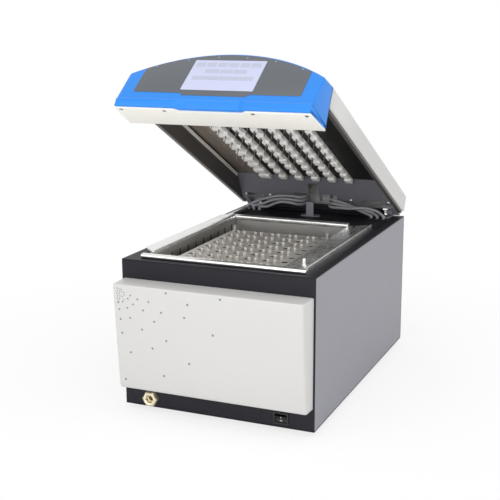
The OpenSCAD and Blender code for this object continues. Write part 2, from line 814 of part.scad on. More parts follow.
module lid_liner() {
    color([0.06, 0.06, 0.06]) in_lid() for (s = [-1, 1]) difference() {
        union() {
            intersection() {
                lid_box(s > 0 ? liner_x - liner_t : -liner_x, s > 0 ? liner_x : -liner_x + liner_t,
                    corner_v + 4, lid_front_v - 2, lid_edge_w, lid_crown_h);
                arch_prism(lid_hw, corner_v, lid_front_v, lid_edge_w - 1, lid_t);
            }
            lid_box(s > 0 ? liner_x - liner_t : -lid_hw + 0.5, s > 0 ? lid_hw - 0.5 : -liner_x + liner_t,
                corner_v + 4, lid_front_v - 2, lid_edge_w, cover_edge_w);
        }
        x_rod(-lid_hw - 1, lid_hw + 1, -hinge_v, 0, pin_r + 1);
    }
}

module lid_arms() {
    color([0.45, 0.45, 0.46]) in_lid() for (s = [-1, 1]) {
        x0 = s > 0 ? arm_x0 : -arm_x1;
        x1 = s > 0 ? arm_x1 : -arm_x0;
        difference() {
            union() {
                x_rod(x0, x1, -hinge_v, 0, knuckle_r);
                x_prism(x0, x1, [[-hinge_v - 4, -4], [-45, -1], [-45, 14], [-hinge_v + 3, 5]]);
            }
            x_rod(x0 - 1, x1 + 1, -hinge_v, 0, pin_r + 0.06);
        }
    }
}

module nozzle_plate() {
    color([0.22, 0.19, 0.17]) in_lid() intersection() {
        lid_box(-liner_x + liner_t, liner_x - liner_t, panel_top_v, lid_front_v - 2, ceiling_w, ceiling_w + 1.5);
        arch_prism(lid_hw, panel_top_v - 1, lid_front_v, 0, lid_t);
    }
}

module edge_strips() {
    strip = 2.5;
    color([0.85, 0.85, 0.83]) in_lid() for (s = [-1, 1])
        lid_box(s > 0 ? liner_x - liner_t - strip : -liner_x + liner_t,
            s > 0 ? liner_x - liner_t : -liner_x + liner_t + strip,
            panel_top_v + 4, lid_front_v - 4, ceiling_w - strip, ceiling_w);
}

panel_t = 1.5;
panel_run = panel_top_v - panel_low_v;
panel_rise = ceiling_w - panel_low_w;
panel_len = sqrt(panel_run * panel_run + panel_rise * panel_rise);
panel_ang = atan(panel_rise / panel_run);
panel_hw = liner_x - liner_t;

// on the sloped panel: x across, y from its lower edge up, z towards the front
module on_panel() {
    translate([0, -panel_low_v, panel_low_w]) rotate([180 - panel_ang, 0, 0]) children();
}

module slope_panel() {
    slot_w = 7;
    color([0.42, 0.42, 0.44]) in_lid() on_panel() difference() {
        union() {
            box(-panel_hw, panel_hw, 0, panel_len, -panel_t, 0);
            box(-18, 12, 46, 58, 0, 5);
        }
        box(-14, 8, -1, 44, -panel_t - 1, 6);
        box(-48, -16, -1, 2 + slot_w * 2.2, -panel_t - 1, 1);
        box(14, 48, -1, 2 + slot_w * 2.2, -panel_t - 1, 1);
        for (x = [-140, 122]) translate([x, 6, -panel_t - 1]) cube_slot(44, slot_w / 2, panel_t + 2);
    }
}

module panel_screws() {
    color([0.85, 0.85, 0.83]) in_lid() on_panel() for (x = [-160, -104, 78, 158]) translate([x, 7, 0]) union() {
        cylinder(h = 2.2, r = 3.2);
        translate([0, 0, 2.2]) cylinder(h = 0.6, r1 = 3.2, r2 = 2.4);
    }
}

module gas_header() {
    header_w = ceiling_w + 12;
    header_v = 130;
    color([0.62, 0.62, 0.64]) in_lid() union() {
        x_rod(-110, 110, -header_v, header_w, 8);
        for (i = [0:cols - 1]) translate([col_x(i), -header_v, ceiling_w + 1.5]) cylinder(h = 10, r = 4);
    }
}

module nozzle_bars() {
    color([0.90, 0.90, 0.87]) in_lid() for (i = [0:cols - 1]) union() {
        lid_box(col_x(i) - bar_w / 2, col_x(i) + bar_w / 2, bar_back_v, bar_front_v, bar_low_w + beam_lift, ceiling_w);
        for (j = [-rear_blocks:rows - 1]) lid_box(col_x(i) - block_w / 2, col_x(i) + block_w / 2,
            row_v(rows - 1 - j) - block_l / 2, row_v(rows - 1 - j) + block_l / 2, bar_low_w, ceiling_w - 2);
    }
}

module nozzle_tips() {
    color([0.82, 0.82, 0.80]) in_lid() for (i = [0:cols - 1]) for (j = [0:rows - 1])
        translate([col_x(i), -row_v(j), nozzle_tip_w]) union() {
            cylinder(h = bar_low_w - nozzle_tip_w, r = nozzle_r, $fn = 16);
            translate([0, 0, bar_low_w - nozzle_tip_w - nozzle_hub_h])
                cylinder(h = nozzle_hub_h, r1 = 2, r2 = nozzle_hub_r, $fn = 24);
        }
}

module bezel_plan(t) {
    linear_extrude(bezel_cut_h) polygon([[-bezel_hw_back + t, -lid_front_v], [-bezel_hw_front + t, -strip_v - 1],
        [bezel_hw_front - t, -strip_v - 1], [bezel_hw_back - t, -lid_front_v]]);
}

module bezel() {
    wall = 4;
    back_wall_top = ceiling_w - 4;
    top_w = lid_crown_h + 1;
    top_v = face_v - (top_w - face_w) / tan(face_tilt);
    in_face_v = face_v - wall / sin(face_tilt);
    in_top_v = top_v - wall / sin(face_tilt);
    color([0.20, 0.50, 0.86]) in_lid() difference() {
        intersection() {
            x_prism(-lid_hw, lid_hw, [[-lid_front_v, bezel_low_w], [-strip_v, bezel_low_w],
                [-face_v, face_w], [-top_v, top_w], [-lid_front_v, top_w]]);
            arch_prism(lid_hw, lid_front_v, strip_v + 1, bezel_low_w - 1, 0);
            translate([0, 0, bezel_low_w - 1]) bezel_plan(0);
        }
        // hollow behind the display face
        intersection() {
            x_prism(-lid_hw, lid_hw, [[-lid_front_v - wall, bezel_low_w - 1], [-strip_v + wall + scoop_d, bezel_low_w - 1],
                [-in_face_v, face_w], [-in_face_v + (back_wall_top - face_w) / tan(face_tilt), back_wall_top],
                [-lid_front_v - wall, back_wall_top]]);
            translate([0, 0, bezel_low_w - 2]) bezel_plan(wall);
        }
        // recess of the overlay
        on_face() translate([0, 0, -overlay_t]) linear_extrude(overlay_t + 1) overlay_outline(0);
        // finger scoop in the lower strip
        scoop_cut();
    }
}

module scoop_cut() {
    slant = 8;
    translate([0, 0, bezel_low_w - 5]) linear_extrude(5 - bezel_low_w + face_w - 5)
        polygon([[-scoop_w / 2, -strip_v - 5], [-scoop_w / 2 + slant, -strip_v + scoop_d],
            [scoop_w / 2 - slant, -strip_v + scoop_d], [scoop_w / 2, -strip_v - 5]]);
}

module overlay_outline(inset) {
    hw = overlay_w / 2 - inset;
    intersection() {
        union() {
            translate([-hw, overlay_s0 + inset]) square([2 * hw, face_len]);
            translate([-scoop_w / 2 + inset, overlay_tab + inset]) square([scoop_w - 2 * inset, 20]);
        }
        translate([0, overlay_top_s - overlay_r]) circle(r = overlay_r - inset, $fn = 256);
    }
}

module display_overlay() {
    color([0.38, 0.41, 0.44]) in_lid() on_face() translate([0, 0, -overlay_t]) linear_extrude(overlay_t) difference() {
        overlay_outline(0.1);
        translate([-screen_w / 2, screen_s0]) square([screen_w, screen_h]);
        for (p = leds) translate(p) circle(r = led_r);
    }
}

module touch_screen() {
    color([0.78, 0.80, 0.84]) in_lid() on_face() translate([-screen_w / 2 + 0.1, screen_s0 + 0.1, -overlay_t])
        cube([screen_w - 0.2, screen_h - 0.2, 0.6]);
}

module indicator_leds() {
    color([0.93, 0.93, 0.90]) in_lid() on_face() for (p = leds) translate([p[0], p[1], -overlay_t])
        cylinder(h = overlay_t + 0.5, r = led_r - 0.1, $fn = 32);
}

module display_board() {
    color([0.10, 0.30, 0.16]) in_lid() on_face() translate([-board_w / 2, board_s0, board_z]) cube([board_w, board_d, board_t]);
}

module bezel_underplate() {
    color([0.84, 0.83, 0.81]) in_lid() translate([0, 0, bezel_low_w - underplate_t]) linear_extrude(underplate_t)
        difference() {
            polygon([[-bezel_hw_back + 4, -underplate_v0], [-bezel_hw_front + 1, -underplate_v1],
                [bezel_hw_front - 1, -underplate_v1], [bezel_hw_back - 4, -underplate_v0]]);
            polygon([[-scoop_w / 2 - 3, -strip_v - 5], [-scoop_w / 2 + 6, -strip_v + scoop_d + 2],
                [scoop_w / 2 - 6, -strip_v + scoop_d + 2], [scoop_w / 2 + 3, -strip_v - 5]]);
        }
}

module underplate_screws() {
    screw_v = underplate_v1 - 5;
    screw_x = [-bezel_hw_back + 17, -82, 76, bezel_hw_back - 13];
    color([0.30, 0.30, 0.31]) in_lid() for (x = screw_x)
        translate([x, -screw_v, bezel_low_w - underplate_t - 1.2]) cylinder(h = 1.2, r1 = 2.6, r2 = 3.4);
}

chassis();
front_panel();
side_covers();
base_plate();
rear_panel();
feet();
front_cover();
drain_fitting();
drain_pipe();
switch_frame();
switch_rocker();
bath_tub();
bath_rim();
slot_plate();
bath_heater();
rim_stud();
rack_plates();
rack_shelf();
rack_prongs();
rack_posts();
hinge_brackets();
hinge_pins();
rear_rail();
hose_stand();
hose_grommets();
hoses_left();
hoses_right();
power_inlet();
inlet_pins();
gas_inlet();
exhaust_port();
power_supply();
gas_valve();
lid_cover();
lid_liner();
lid_arms();
nozzle_plate();
edge_strips();
slope_panel();
panel_screws();
gas_header();
nozzle_bars();
nozzle_tips();
bezel();
bezel_underplate();
underplate_screws();
display_overlay();
touch_screen();
indicator_leds();
display_board();
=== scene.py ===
# %% [markdown]
# # A nitrogen sample evaporator, dressed for a studio picture
# The solids come from the CAD frame. This lesson gives every piece its
# surface: rounded skins worked out with numpy, and finishes made of nodes.
# Lengths in the text are millimetres; the scene itself is in metres.

# %% Start from the frame
import json
import bpy
import mathutils
import numpy as np
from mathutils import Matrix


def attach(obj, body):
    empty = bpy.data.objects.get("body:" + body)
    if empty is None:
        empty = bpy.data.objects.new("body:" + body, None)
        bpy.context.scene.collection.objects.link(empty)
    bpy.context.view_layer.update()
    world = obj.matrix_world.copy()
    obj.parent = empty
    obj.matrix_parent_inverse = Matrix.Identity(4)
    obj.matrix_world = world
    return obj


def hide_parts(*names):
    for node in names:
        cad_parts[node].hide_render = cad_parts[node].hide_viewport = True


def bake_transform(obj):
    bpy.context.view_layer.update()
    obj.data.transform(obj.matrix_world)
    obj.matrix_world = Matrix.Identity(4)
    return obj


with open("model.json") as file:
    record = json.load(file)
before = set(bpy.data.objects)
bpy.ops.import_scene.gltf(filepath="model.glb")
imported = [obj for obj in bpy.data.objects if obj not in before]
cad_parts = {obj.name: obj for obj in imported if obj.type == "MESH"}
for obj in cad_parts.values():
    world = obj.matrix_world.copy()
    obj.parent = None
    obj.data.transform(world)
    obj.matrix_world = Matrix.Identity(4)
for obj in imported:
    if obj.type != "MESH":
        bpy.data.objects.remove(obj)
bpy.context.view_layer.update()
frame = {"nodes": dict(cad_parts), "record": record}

# %% [markdown]
# ## Where things are
# All sizes are told from the cabinet: x to the right, y back from its front
# face, z up from its floor. The lid has its own directions: v forward from
# its back edge and w out of its lower edge plane, turned about the hinge.

# %% Cabinet and lid coordinates
WIDTH, DEPTH, HEIGHT, FOOT = 360.0, 555.0, 268.0, 9.0
HALF = WIDTH / 2
COVER_OUT = 44.5  # front cover, out of the cabinet's face
EXHAUST_OUT = 18.0  # exhaust collar, out of the cabinet's back
HINGE = np.array([0.0, DEPTH - 7.0, HEIGHT + 8.0])
HINGE_V = 8.0  # hinge line in front of the lid's back edge
LID_TILT = np.radians(27.8)  # the lid as photographed
CROWN, SIDE = 89.5, 38.0  # heights of the lid's arch and of its upright sides
ROW_PITCH, COLUMN_PITCH = 33.5, 36.0  # tube places along y and x
BACK = max(DEPTH + EXHAUST_OUT, HINGE[1] + HINGE_V * np.cos(LID_TILT) + CROWN * np.sin(LID_TILT))
Y_MID = (BACK - COVER_OUT) / 2


def metres(points):
    """Frame metres of cabinet points: shift to the outline's middle, up by a foot, divide by 1000."""
    return (np.asarray(points, float) + [0, -Y_MID, FOOT]) / 1000


def on_lid(points):
    """Cabinet points of lid points (x, v, w): with d = v - HINGE_V and the tilt t,
    y = hinge - d cos t + w sin t and z = hinge + d sin t + w cos t."""
    x, v, w = np.moveaxis(np.asarray(points, float), -1, 0)
    c, s = np.cos(LID_TILT), np.sin(LID_TILT)
    ahead = v - HINGE_V
    return np.stack([x, HINGE[1] - ahead * c + w * s, HINGE[2] + ahead * s + w * c], -1)


print("middle of the outline at y =", round(Y_MID, 2))

# %% [markdown]
# ## Colours and nodes
# A colour is written as the sRGB hex that a picture would show and is turned
# to linear light once. One small function adds any node with its settings
# and its links, so a finish reads as a list of what feeds what.

# %% Colour and node helpers
def linear(code, alpha=1.0):
    """Linear RGBA of an sRGB hex: c / 12.92 below 0.04045, else ((c + 0.055) / 1.055) ** 2.4."""
    c = np.array([int(code[i:i + 2], 16) for i in (0, 2, 4)]) / 255
    return (*np.where(c <= 0.04045, c / 12.92, ((c + 0.055) / 1.055) ** 2.4).tolist(), alpha)


def shades(colour, down, up=0.0):
    """Two linear colours, darker by the share down and lighter by the share up."""
    base = linear(colour)[:3]
    return [(*(min(c * factor, 1.0) for c in base), 1.0) for factor in (1 - down, 1 + up)]


def add(tree, kind, feeds=None, **settings):
    """Adds a node: settings name its properties, feeds maps its inputs to a value or a socket."""
    made = tree.nodes.new(kind)
    for key, value in settings.items():
        setattr(made, key, value)
    for key, value in (feeds or {}).items():
        if isinstance(value, bpy.types.NodeSocket):
            tree.links.new(value, made.inputs[key])
        else:
            made.inputs[key].default_value = value
    return made


def blank(name):
    """A new material with a Principled shader: the material, its tree, the shader and the Object
    coordinates."""
    mat = bpy.data.materials.new(name)
    mat.use_nodes = True
    tree = mat.node_tree
    tree.nodes.clear()
    shader = add(tree, "ShaderNodeBsdfPrincipled")
    add(tree, "ShaderNodeOutputMaterial", {"Surface": shader.outputs[0]})
    return mat, tree, shader, add(tree, "ShaderNodeTexCoord").outputs["Object"]


print("sRGB 808080 is", round(linear("808080")[0], 3), "in linear light")

# %% [markdown]
# ## Finishes
# Powder coat, moulded plastic and machined polymer differ mostly in how fine
# and how deep their grain is. So one recipe takes the grain size in
# millimetres, its depth, and how far colour and gloss wander from place to
# place. Metal has lines in place of grain, squeezed across one direction.

# %% The recipes
MIX_FACTOR, MIX_A, MIX_B, MIX_OUT = 0, 6, 7, 2  # sockets of a Mix node set to colour
WANDER_MM, SHEET_MM = 90.0, 60.0  # sizes of the slow change on coats and on metal


def dress(tree, shader, tone, polish, bump):
    """Wires a colour, a roughness and a bump to the shader."""
    tree.links.new(tone.outputs[MIX_OUT], shader.inputs["Base Color"])
    tree.links.new(polish.outputs[0], shader.inputs["Roughness"])
    tree.links.new(bump.outputs[0], shader.inputs["Normal"])


def coat(name, colour, rough, grain_mm, depth, wander=0.03, ior=1.5):
    """Noise of grain_mm sets a bump of 0.2 mm, and a slow noise moves the colour by the share
    wander and the roughness by 12 %."""
    mat, tree, shader, place = blank(name)
    slow = add(tree, "ShaderNodeTexNoise", {"Vector": place, "Scale": 1000 / WANDER_MM, "Detail": 3.0})
    fine = add(tree, "ShaderNodeTexNoise", {"Vector": place, "Scale": 1000 / grain_mm, "Detail": 2.0})
    low, high = shades(colour, wander, wander)
    tone = add(tree, "ShaderNodeMix", {MIX_FACTOR: slow.outputs["Fac"], MIX_A: low, MIX_B: high},
               data_type="RGBA")
    polish = add(tree, "ShaderNodeMapRange", {"Value": slow.outputs["Fac"],
                                              "To Min": rough * 0.88, "To Max": rough * 1.12})
    bump = add(tree, "ShaderNodeBump", {"Height": fine.outputs["Fac"], "Strength": depth,
                                        "Distance": 0.0002})
    dress(tree, shader, tone, polish, bump)
    shader.inputs["IOR"].default_value = ior
    return mat


def metal(name, colour, rough, stretch, line_mm, depth, wander=0.08):
    """Noise squeezed to lines line_mm apart, longer by stretch along each axis, moves the
    roughness by up to a quarter and sets a bump of 0.1 mm."""
    mat, tree, shader, place = blank(name)
    lines = add(tree, "ShaderNodeMapping", {"Vector": place,
                                            "Scale": tuple(1000 / line_mm / s for s in stretch)})
    grain = add(tree, "ShaderNodeTexNoise", {"Vector": lines.outputs[0], "Scale": 1.0, "Detail": 4.0})
    slow = add(tree, "ShaderNodeTexNoise", {"Vector": place, "Scale": 1000 / SHEET_MM, "Detail": 2.0})
    low, plain = shades(colour, wander)
    tone = add(tree, "ShaderNodeMix", {MIX_FACTOR: slow.outputs["Fac"], MIX_A: low, MIX_B: plain},
               data_type="RGBA")
    polish = add(tree, "ShaderNodeMapRange", {"Value": grain.outputs["Fac"], "From Min": 0.3,
                                              "From Max": 0.7, "To Min": rough * 0.75,
                                              "To Max": rough * 1.25})
    bump = add(tree, "ShaderNodeBump", {"Height": grain.outputs["Fac"], "Strength": depth,
                                        "Distance": 0.0001})
    dress(tree, shader, tone, polish, bump)
    shader.inputs["Metallic"].default_value = 1.0
    return mat


print("recipes:", coat.__name__, "and", metal.__name__)

# %% [markdown]
# ## The finishes of this object
# The numbers are those of the real processes: an orange peel of 1.2 mm on
# powder coat, 0.7 mm of spark grain on moulded ABS, lines of 0.6 mm on brushed
# steel. A coat's row reads: name, colour, roughness, grain in mm, depth, wander,
# index of refraction. A metal's: name, colour, roughness, stretch of its lines,
# their distance in mm, depth.

# %% Finishes by name
EVEN, ALONG_XY, ALONG_Y = (1, 1, 1), (30, 30, 1), (1, 6, 1)  # how long the metal's lines are

FINISH = {
    # polyester powder coat on steel sheet: satin, so highlights are broad and a little uneven
    "charcoal_paint": coat("charcoal_powder_coat", "13131c", 0.5, 1.2, 0.3, 0.03, 1.4),
    "grey_paint": coat("grey_powder_coat", "8d8d95", 0.42, 1.2, 0.3),
    "black_paint": coat("black_powder_coat", "4b4745", 0.4, 1.2, 0.25),
    "dark_plate": coat("dark_coated_sheet", "0c0b0a", 0.5, 1.6, 0.15, 0.1),
    # painted shade: the grey powder coat made darker for the slope panel and gas header under the lid
    "shaded_grey": coat("grey_powder_coat_painted_shade", "74737a", 0.42, 1.2, 0.3),
    # bronze-coloured conversion coat on sheet: smoother than powder, so it catches the light
    "brown_plate": coat("bronze_coated_sheet", "84776b", 0.3, 1.6, 0.15, 0.1),
    # moulded ABS and nylon: a spark-eroded mould leaves a fine grain that softens reflections
    "white_plastic": coat("white_moulded_abs", "cecdcb", 0.38, 0.7, 0.12, 0.012, 1.53),
    "cream_plastic": coat("cream_moulded_abs", "f2f0e8", 0.5, 0.7, 0.15, 0.03, 1.53),
    "blue_plastic": coat("blue_moulded_abs", "0082e4", 0.34, 0.7, 0.1, 0.02, 1.53),
    "black_plastic": coat("black_moulded_nylon", "141416", 0.42, 0.8, 0.2, 0.05, 1.53),
    "mark_white": coat("moulded_white_mark", "d8d8d6", 0.5, 0.5, 0.05),
    # machined acetal: milky, with a soft sheen
    "white_polymer": coat("machined_acetal", "fbf9f4", 0.42, 1.0, 0.15, 0.04, 1.48),
    # printed film, glass and lenses: almost no grain, so they mirror the room
    "overlay_film": coat("printed_polyester_film", "54595f", 0.36, 0.5, 0.08, 0.015, 1.57),
    "screen_glass": coat("display_glass", "c4c9e4", 0.12, 40.0, 0.02, 0.01, 1.52),
    "led_lens": coat("clear_lens", "7c93b4", 0.2, 10.0, 0.02, 0.02, 1.49),
    "screen_grey": coat("lit_display_grey", "b7bbd0", 0.2, 20.0, 0.01),
    "print_grey": coat("printed_ink", "85878b", 0.4, 0.5, 0.05),
    "board_green": coat("solder_mask", "1f5a33", 0.35, 1.0, 0.2, 0.1),
    # extruded PVC and moulded rubber: one shines along its length, the other is dull
    "clear_hose": coat("clear_pvc_hose", "9c9ca0", 0.12, 12.0, 0.05, 0.05, 1.53),
    "black_rubber": coat("moulded_rubber", "1a1a1b", 0.75, 0.6, 0.3, 0.1, 1.52),
    # turned brass, matt, so its facets show as even tones
    "brass": metal("turned_brass", "f4ead0", 0.55, EVEN, 1.5, 0.1),
    # pins and rack plates are glass-blasted, so they scatter light and stay pale under the lid
    "pin_steel": metal("blasted_stainless", "c9c5c0", 0.45, EVEN, 0.5, 0.2),
    "satin_steel": metal("blasted_sheet", "dedbd6", 0.62, EVEN, 0.8, 0.15),
    # painted shade: the shelf and heater under the rack are plain steel coloured dark for the shade
    # they stand in
    "shade_painted_steel": metal("shade_painted_sheet", "3c3a38", 0.5, EVEN, 0.8, 0.15),
    "bare_steel": metal("plain_steel", "a9a9a8", 0.34, ALONG_Y, 1.0, 0.1),
    # rolled stainless, brushed for the bath and nearly polished for its rim
    "brushed_steel": metal("brushed_stainless", "c4c1bd", 0.5, ALONG_XY, 0.6, 0.12),
    "bright_steel": metal("bright_stainless", "f2f2f0", 0.3, ALONG_XY, 0.6, 0.06),
}
print(len(FINISH), "finishes")

# %% [markdown]
# ## Painted shade below the rack
# Below the rack the tub is coloured dark as painted shade: the metal's colour falls to
# about a twentieth between 256 and 238 mm above the bench.

# %% Tub sheet with painted shade below the rack
LIT_FROM, SHADE_BELOW = 0.256, 0.238
FINISH["tub_steel"] = metal("tub_stainless", "c4c1bd", 0.5, ALONG_XY, 0.6, 0.12)
tree = FINISH["tub_steel"].node_tree
shader = next(n for n in tree.nodes if n.type == "BSDF_PRINCIPLED")
bare = shader.inputs["Base Color"].links[0].from_socket
height = add(tree, "ShaderNodeSeparateXYZ", {0: add(tree, "ShaderNodeTexCoord").outputs["Object"]})
lit_share = add(tree, "ShaderNodeMapRange", {"Value": height.outputs["Z"], "From Min": SHADE_BELOW,
                                       "From Max": LIT_FROM})
# painted shade: the dark colour the tub sheet takes below the rack
tint = add(tree, "ShaderNodeMix", {MIX_FACTOR: lit_share.outputs[0], MIX_A: linear("2a2826"), MIX_B: bare},
           data_type="RGBA")
tree.links.new(tint.outputs[MIX_OUT], shader.inputs["Base Color"])
print("the tub darkens over", round((LIT_FROM - SHADE_BELOW) * 1000), "mm")

# %% [markdown]
# ## Dress the carried-over solids
# Each CAD node names the material slot that its finish belongs to. A few have
# a surface of their own within that slot, given in OWN_FINISH.

# %% A finish for every node
# painted shade: the slope panel and gas header wear a darker copy of the grey coat, the rack shelf and
# heater a dark steel, and the tub and rack posts darken below the rack
OWN_FINISH = {"slope_panel": "shaded_grey", "gas_header": "shaded_grey", "rack_plates": "satin_steel",
              "rack_posts": "tub_steel", "bath_tub": "tub_steel", "rack_shelf": "shade_painted_steel",
              "bath_heater": "shade_painted_steel"}
for part in frame["record"]["subparts"]:
    shown = frame["nodes"][part["node"]]
    shown.data.materials.clear()
    shown.data.materials.append(FINISH[OWN_FINISH.get(part["node"], part["material_slot"])])

# %% [markdown]
# ## Folded edges
# Sheet metal turns its corners on a small radius, and that radius is what
# catches a line of light. Weld joins the imported triangles, and Bevel rolls
# every edge sharper than 40 degrees.

# %% Soft edges on the plain solids
EDGE_RADIUS = {"chassis": 0.9, "front_panel": 0.9, "side_covers": 0.6, "base_plate": 0.5,
               "rear_panel": 0.4, "hinge_brackets": 0.5, "lid_arms": 0.5, "lid_liner": 0.4,
               "switch_frame": 0.4, "switch_rocker": 0.3, "hose_stand": 0.5, "power_supply": 0.5,
               "slope_panel": 0.3}


def soften(node, width_mm, segments=3):
    """Weld and Bevel modifiers on a CAD node."""
    shown = frame["nodes"][node]
    weld = shown.modifiers.new("weld", "WELD")
    weld.merge_threshold = 0.00001
    roll = shown.modifiers.new("roll", "BEVEL")
    roll.width = width_mm / 1000
    roll.segments = segments
    roll.limit_method = "ANGLE"
    roll.angle_limit = np.radians(40)
    roll.harden_normals = True


for node, radius in EDGE_RADIUS.items():
    soften(node, radius)
print(len(EDGE_RADIUS), "nodes with soft edges")

# %% [markdown]
# ## Skins from numbers
# Each piece below is worked out as whole arrays of points. A ring is a closed
# outline; a stack of rings, joined row by row and closed with two caps, is a
# solid. One function hands the arrays to Blender, turns the faces outwards and
# keeps real edges crisp while the rest is shaded smooth.

# %% Mesh makers
def rings(rows, capped=True):
    """A stack of m closed rings of n points: four neighbours make a quad, and the two end rings
    are capped."""
    rows = np.asarray(rows, float)
    m, n = rows.shape[:2]
    i, j = np.meshgrid(np.arange(m - 1), np.arange(n), indexing="ij")
    a, b = i * n + j, i * n + (j + 1) % n
    faces = np.stack([a, b, b + n, a + n], -1).reshape(-1, 4).tolist()
    if capped:
        faces += [list(range(n))[::-1], list(range((m - 1) * n, m * n))]
    return rows.reshape(-1, 3), faces


def copies(shape, places):
    """The same shape at each place, as one mesh: every point plus every place."""
    points, faces = shape
    places = np.asarray(places, float)
    every = (places[:, None] + points[None]).reshape(-1, 3)
    return every, [[k + i * len(points) for k in face] for i in range(len(places)) for face in faces]


def joined(*shapes):
    """Several shapes as one mesh: later faces count on from the points before them."""
    points, faces, count = [], [], 0
    for some, their in shapes:
        points.append(some)
        faces += [[k + count for k in face] for face in their]
        count += len(some)
    return np.concatenate(points), faces


def piece(name, shape, finish, body, nodes=(), sharp=32):
    """A Blender object from a shape in cabinet millimetres. It rides on a body and stands for the
    named CAD nodes."""
    points, faces = shape
    mesh = bpy.data.meshes.new(name)
    mesh.from_pydata(metres(points).tolist(), [], faces)
    mesh.update()
    count = len(mesh.polygons)
    normal, centre, area = np.zeros(count * 3), np.zeros(count * 3), np.zeros(count)
    mesh.polygons.foreach_get("normal", normal)
    mesh.polygons.foreach_get("center", centre)
    mesh.polygons.foreach_get("area", area)
    centre = centre.reshape(-1, 3) - centre.reshape(-1, 3).mean(0)
    if (area * (normal.reshape(-1, 3) * centre).sum(1)).sum() < 0:
        mesh.flip_normals()
    mesh.shade_smooth()
    mesh.set_sharp_from_angle(angle=np.radians(sharp))
    made = bpy.data.objects.new(name, mesh)
    bpy.context.scene.collection.objects.link(made)
    mesh.materials.append(FINISH[finish])
    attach(made, body)
    if nodes:
        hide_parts(*nodes)
    print(name, "has", count, "faces")
    return made


# %% [markdown]
# ## Outlines with round corners
# A corner becomes an arc that touches both of its sides. An outline moved
# inwards by the same distance on every side gives the next ring of a rolled
# edge, so a plate gets the small radius that pressing or moulding leaves.

# %% Outline tools
def rounded(corners, radius, steps=5):
    """Closed outline: with u and v towards its neighbours, a corner P gets an arc of radius r about
    P + (u + v) / |u + v| * r / sin(half of the corner's angle)."""
    corners = np.asarray(corners, float)
    x, y = corners.T
    area = (x * np.roll(y, -1) - np.roll(x, -1) * y).sum()
    radius = np.broadcast_to(np.asarray(radius, float), len(corners))
    if area < 0:
        corners, radius = corners[::-1], radius[::-1]
    arcs = []
    for p, a, b, r in zip(corners, np.roll(corners, 1, 0), np.roll(corners, -1, 0), radius):
        u, v = (a - p) / np.linalg.norm(a - p), (b - p) / np.linalg.norm(b - p)
        half = np.arccos(np.clip(u @ v, -1, 1)) / 2
        middle = p + (u + v) / np.linalg.norm(u + v) * r / np.sin(half)
        start, end = p + u * r / np.tan(half) - middle, p + v * r / np.tan(half) - middle
        share = np.linspace(0, 1, steps + 1)[:, None]
        turn = np.pi - 2 * half
        blend = np.sin((1 - share) * turn) * start + np.sin(share * turn) * end
        arcs.append(middle + blend / np.sin(turn))
    return np.concatenate(arcs)


def inset(outline, distance):
    """Outline moved inwards: a point between edges with normals m and n moves by
    distance (m + n) / (1 + m . n)."""
    edge = np.roll(outline, -1, 0) - outline
    edge /= np.linalg.norm(edge, axis=1)[:, None]
    n = np.stack([-edge[:, 1], edge[:, 0]], 1)
    m = np.roll(n, 1, 0)
    return outline + distance * (m + n) / (1 + (m * n).sum(1))[:, None]


def upright(a, b, h):
    """Places an outline (a, b) flat, at height h."""
    return np.stack([a, b, h], -1)


def slab(outline, low, high, edge, place=upright, steps=3):
    """Plate between two heights whose rims roll over: inset r (1 - sin t) at height
    r (1 - cos t) from each face, with r the edge and t from 0 to a right angle."""
    t = np.linspace(0, np.pi / 2, steps + 1)
    back = edge * (1 - np.sin(t))
    up = edge * (1 - np.cos(t))
    offsets = np.concatenate([back, back[::-1]])
    heights = np.concatenate([low + up, (high - up)[::-1]])
    rows = [place(*inset(outline, d).T, np.full(len(outline), h)) for d, h in zip(offsets, heights)]
    return rings(rows)


def oblong(x0, x1, y0, y1, corner, steps=5):
    """Rectangle with round corners."""
    return rounded([(x0, y0), (x1, y0), (x1, y1), (x0, y1)], corner, steps)


def brick(x0, x1, y0, y1, z0, z1, corner, edge):
    """Box with upright corners of one radius and rims of another."""
    return slab(oblong(x0, x1, y0, y1, corner, 3), z0, z1, edge, steps=2)


def turned(profile, axis="z", at=(0, 0, 0), sides=32):
    """Solid of revolution: profile rows (radius, height) turned about an axis through a point."""
    r, h = np.asarray(profile, float).T
    a = np.linspace(0, 2 * np.pi, sides, endpoint=False)
    across = r[:, None] * np.cos(a)
    up = r[:, None] * np.sin(a)
    along = np.repeat(h[:, None], sides, 1)
    order = {"z": (across, up, along), "y": (across, along, up)}[axis]
    return rings(np.stack(order, -1) + np.asarray(at, float))


print("a rounded square has", len(oblong(0, 10, 0, 10, 2)), "points")

# %% [markdown]
# ## The front cover
# A moulded shell that stands off the cabinet. Its face leans: it stands out
# 44.5 mm at the top and 30 mm near the bottom, where a chamfer turns it under.
# Round front corners of 5 mm give the soft vertical highlight.

# %% Front cover
COVER_LOW, COVER_BEND, COVER_TOP = 40.0, 47.0, 234.0  # lower edge, end of the chamfer, top
COVER_UNDER, COVER_FOOT = 27.0, 30.0  # how far it stands out at the lower edge and at the bend
COVER_HALF, COVER_DRAFT = 177.0, 2.5  # half width at the cabinet, and what it loses at the face
COVER_ROLL, COVER_CORNER = 3.0, 5.0


def cover_depth(z):
    """How far the cover stands out at height z: straight lines between the three named heights."""
    return np.interp(z, [COVER_LOW, COVER_BEND, COVER_TOP], [COVER_UNDER, COVER_FOOT, COVER_OUT])


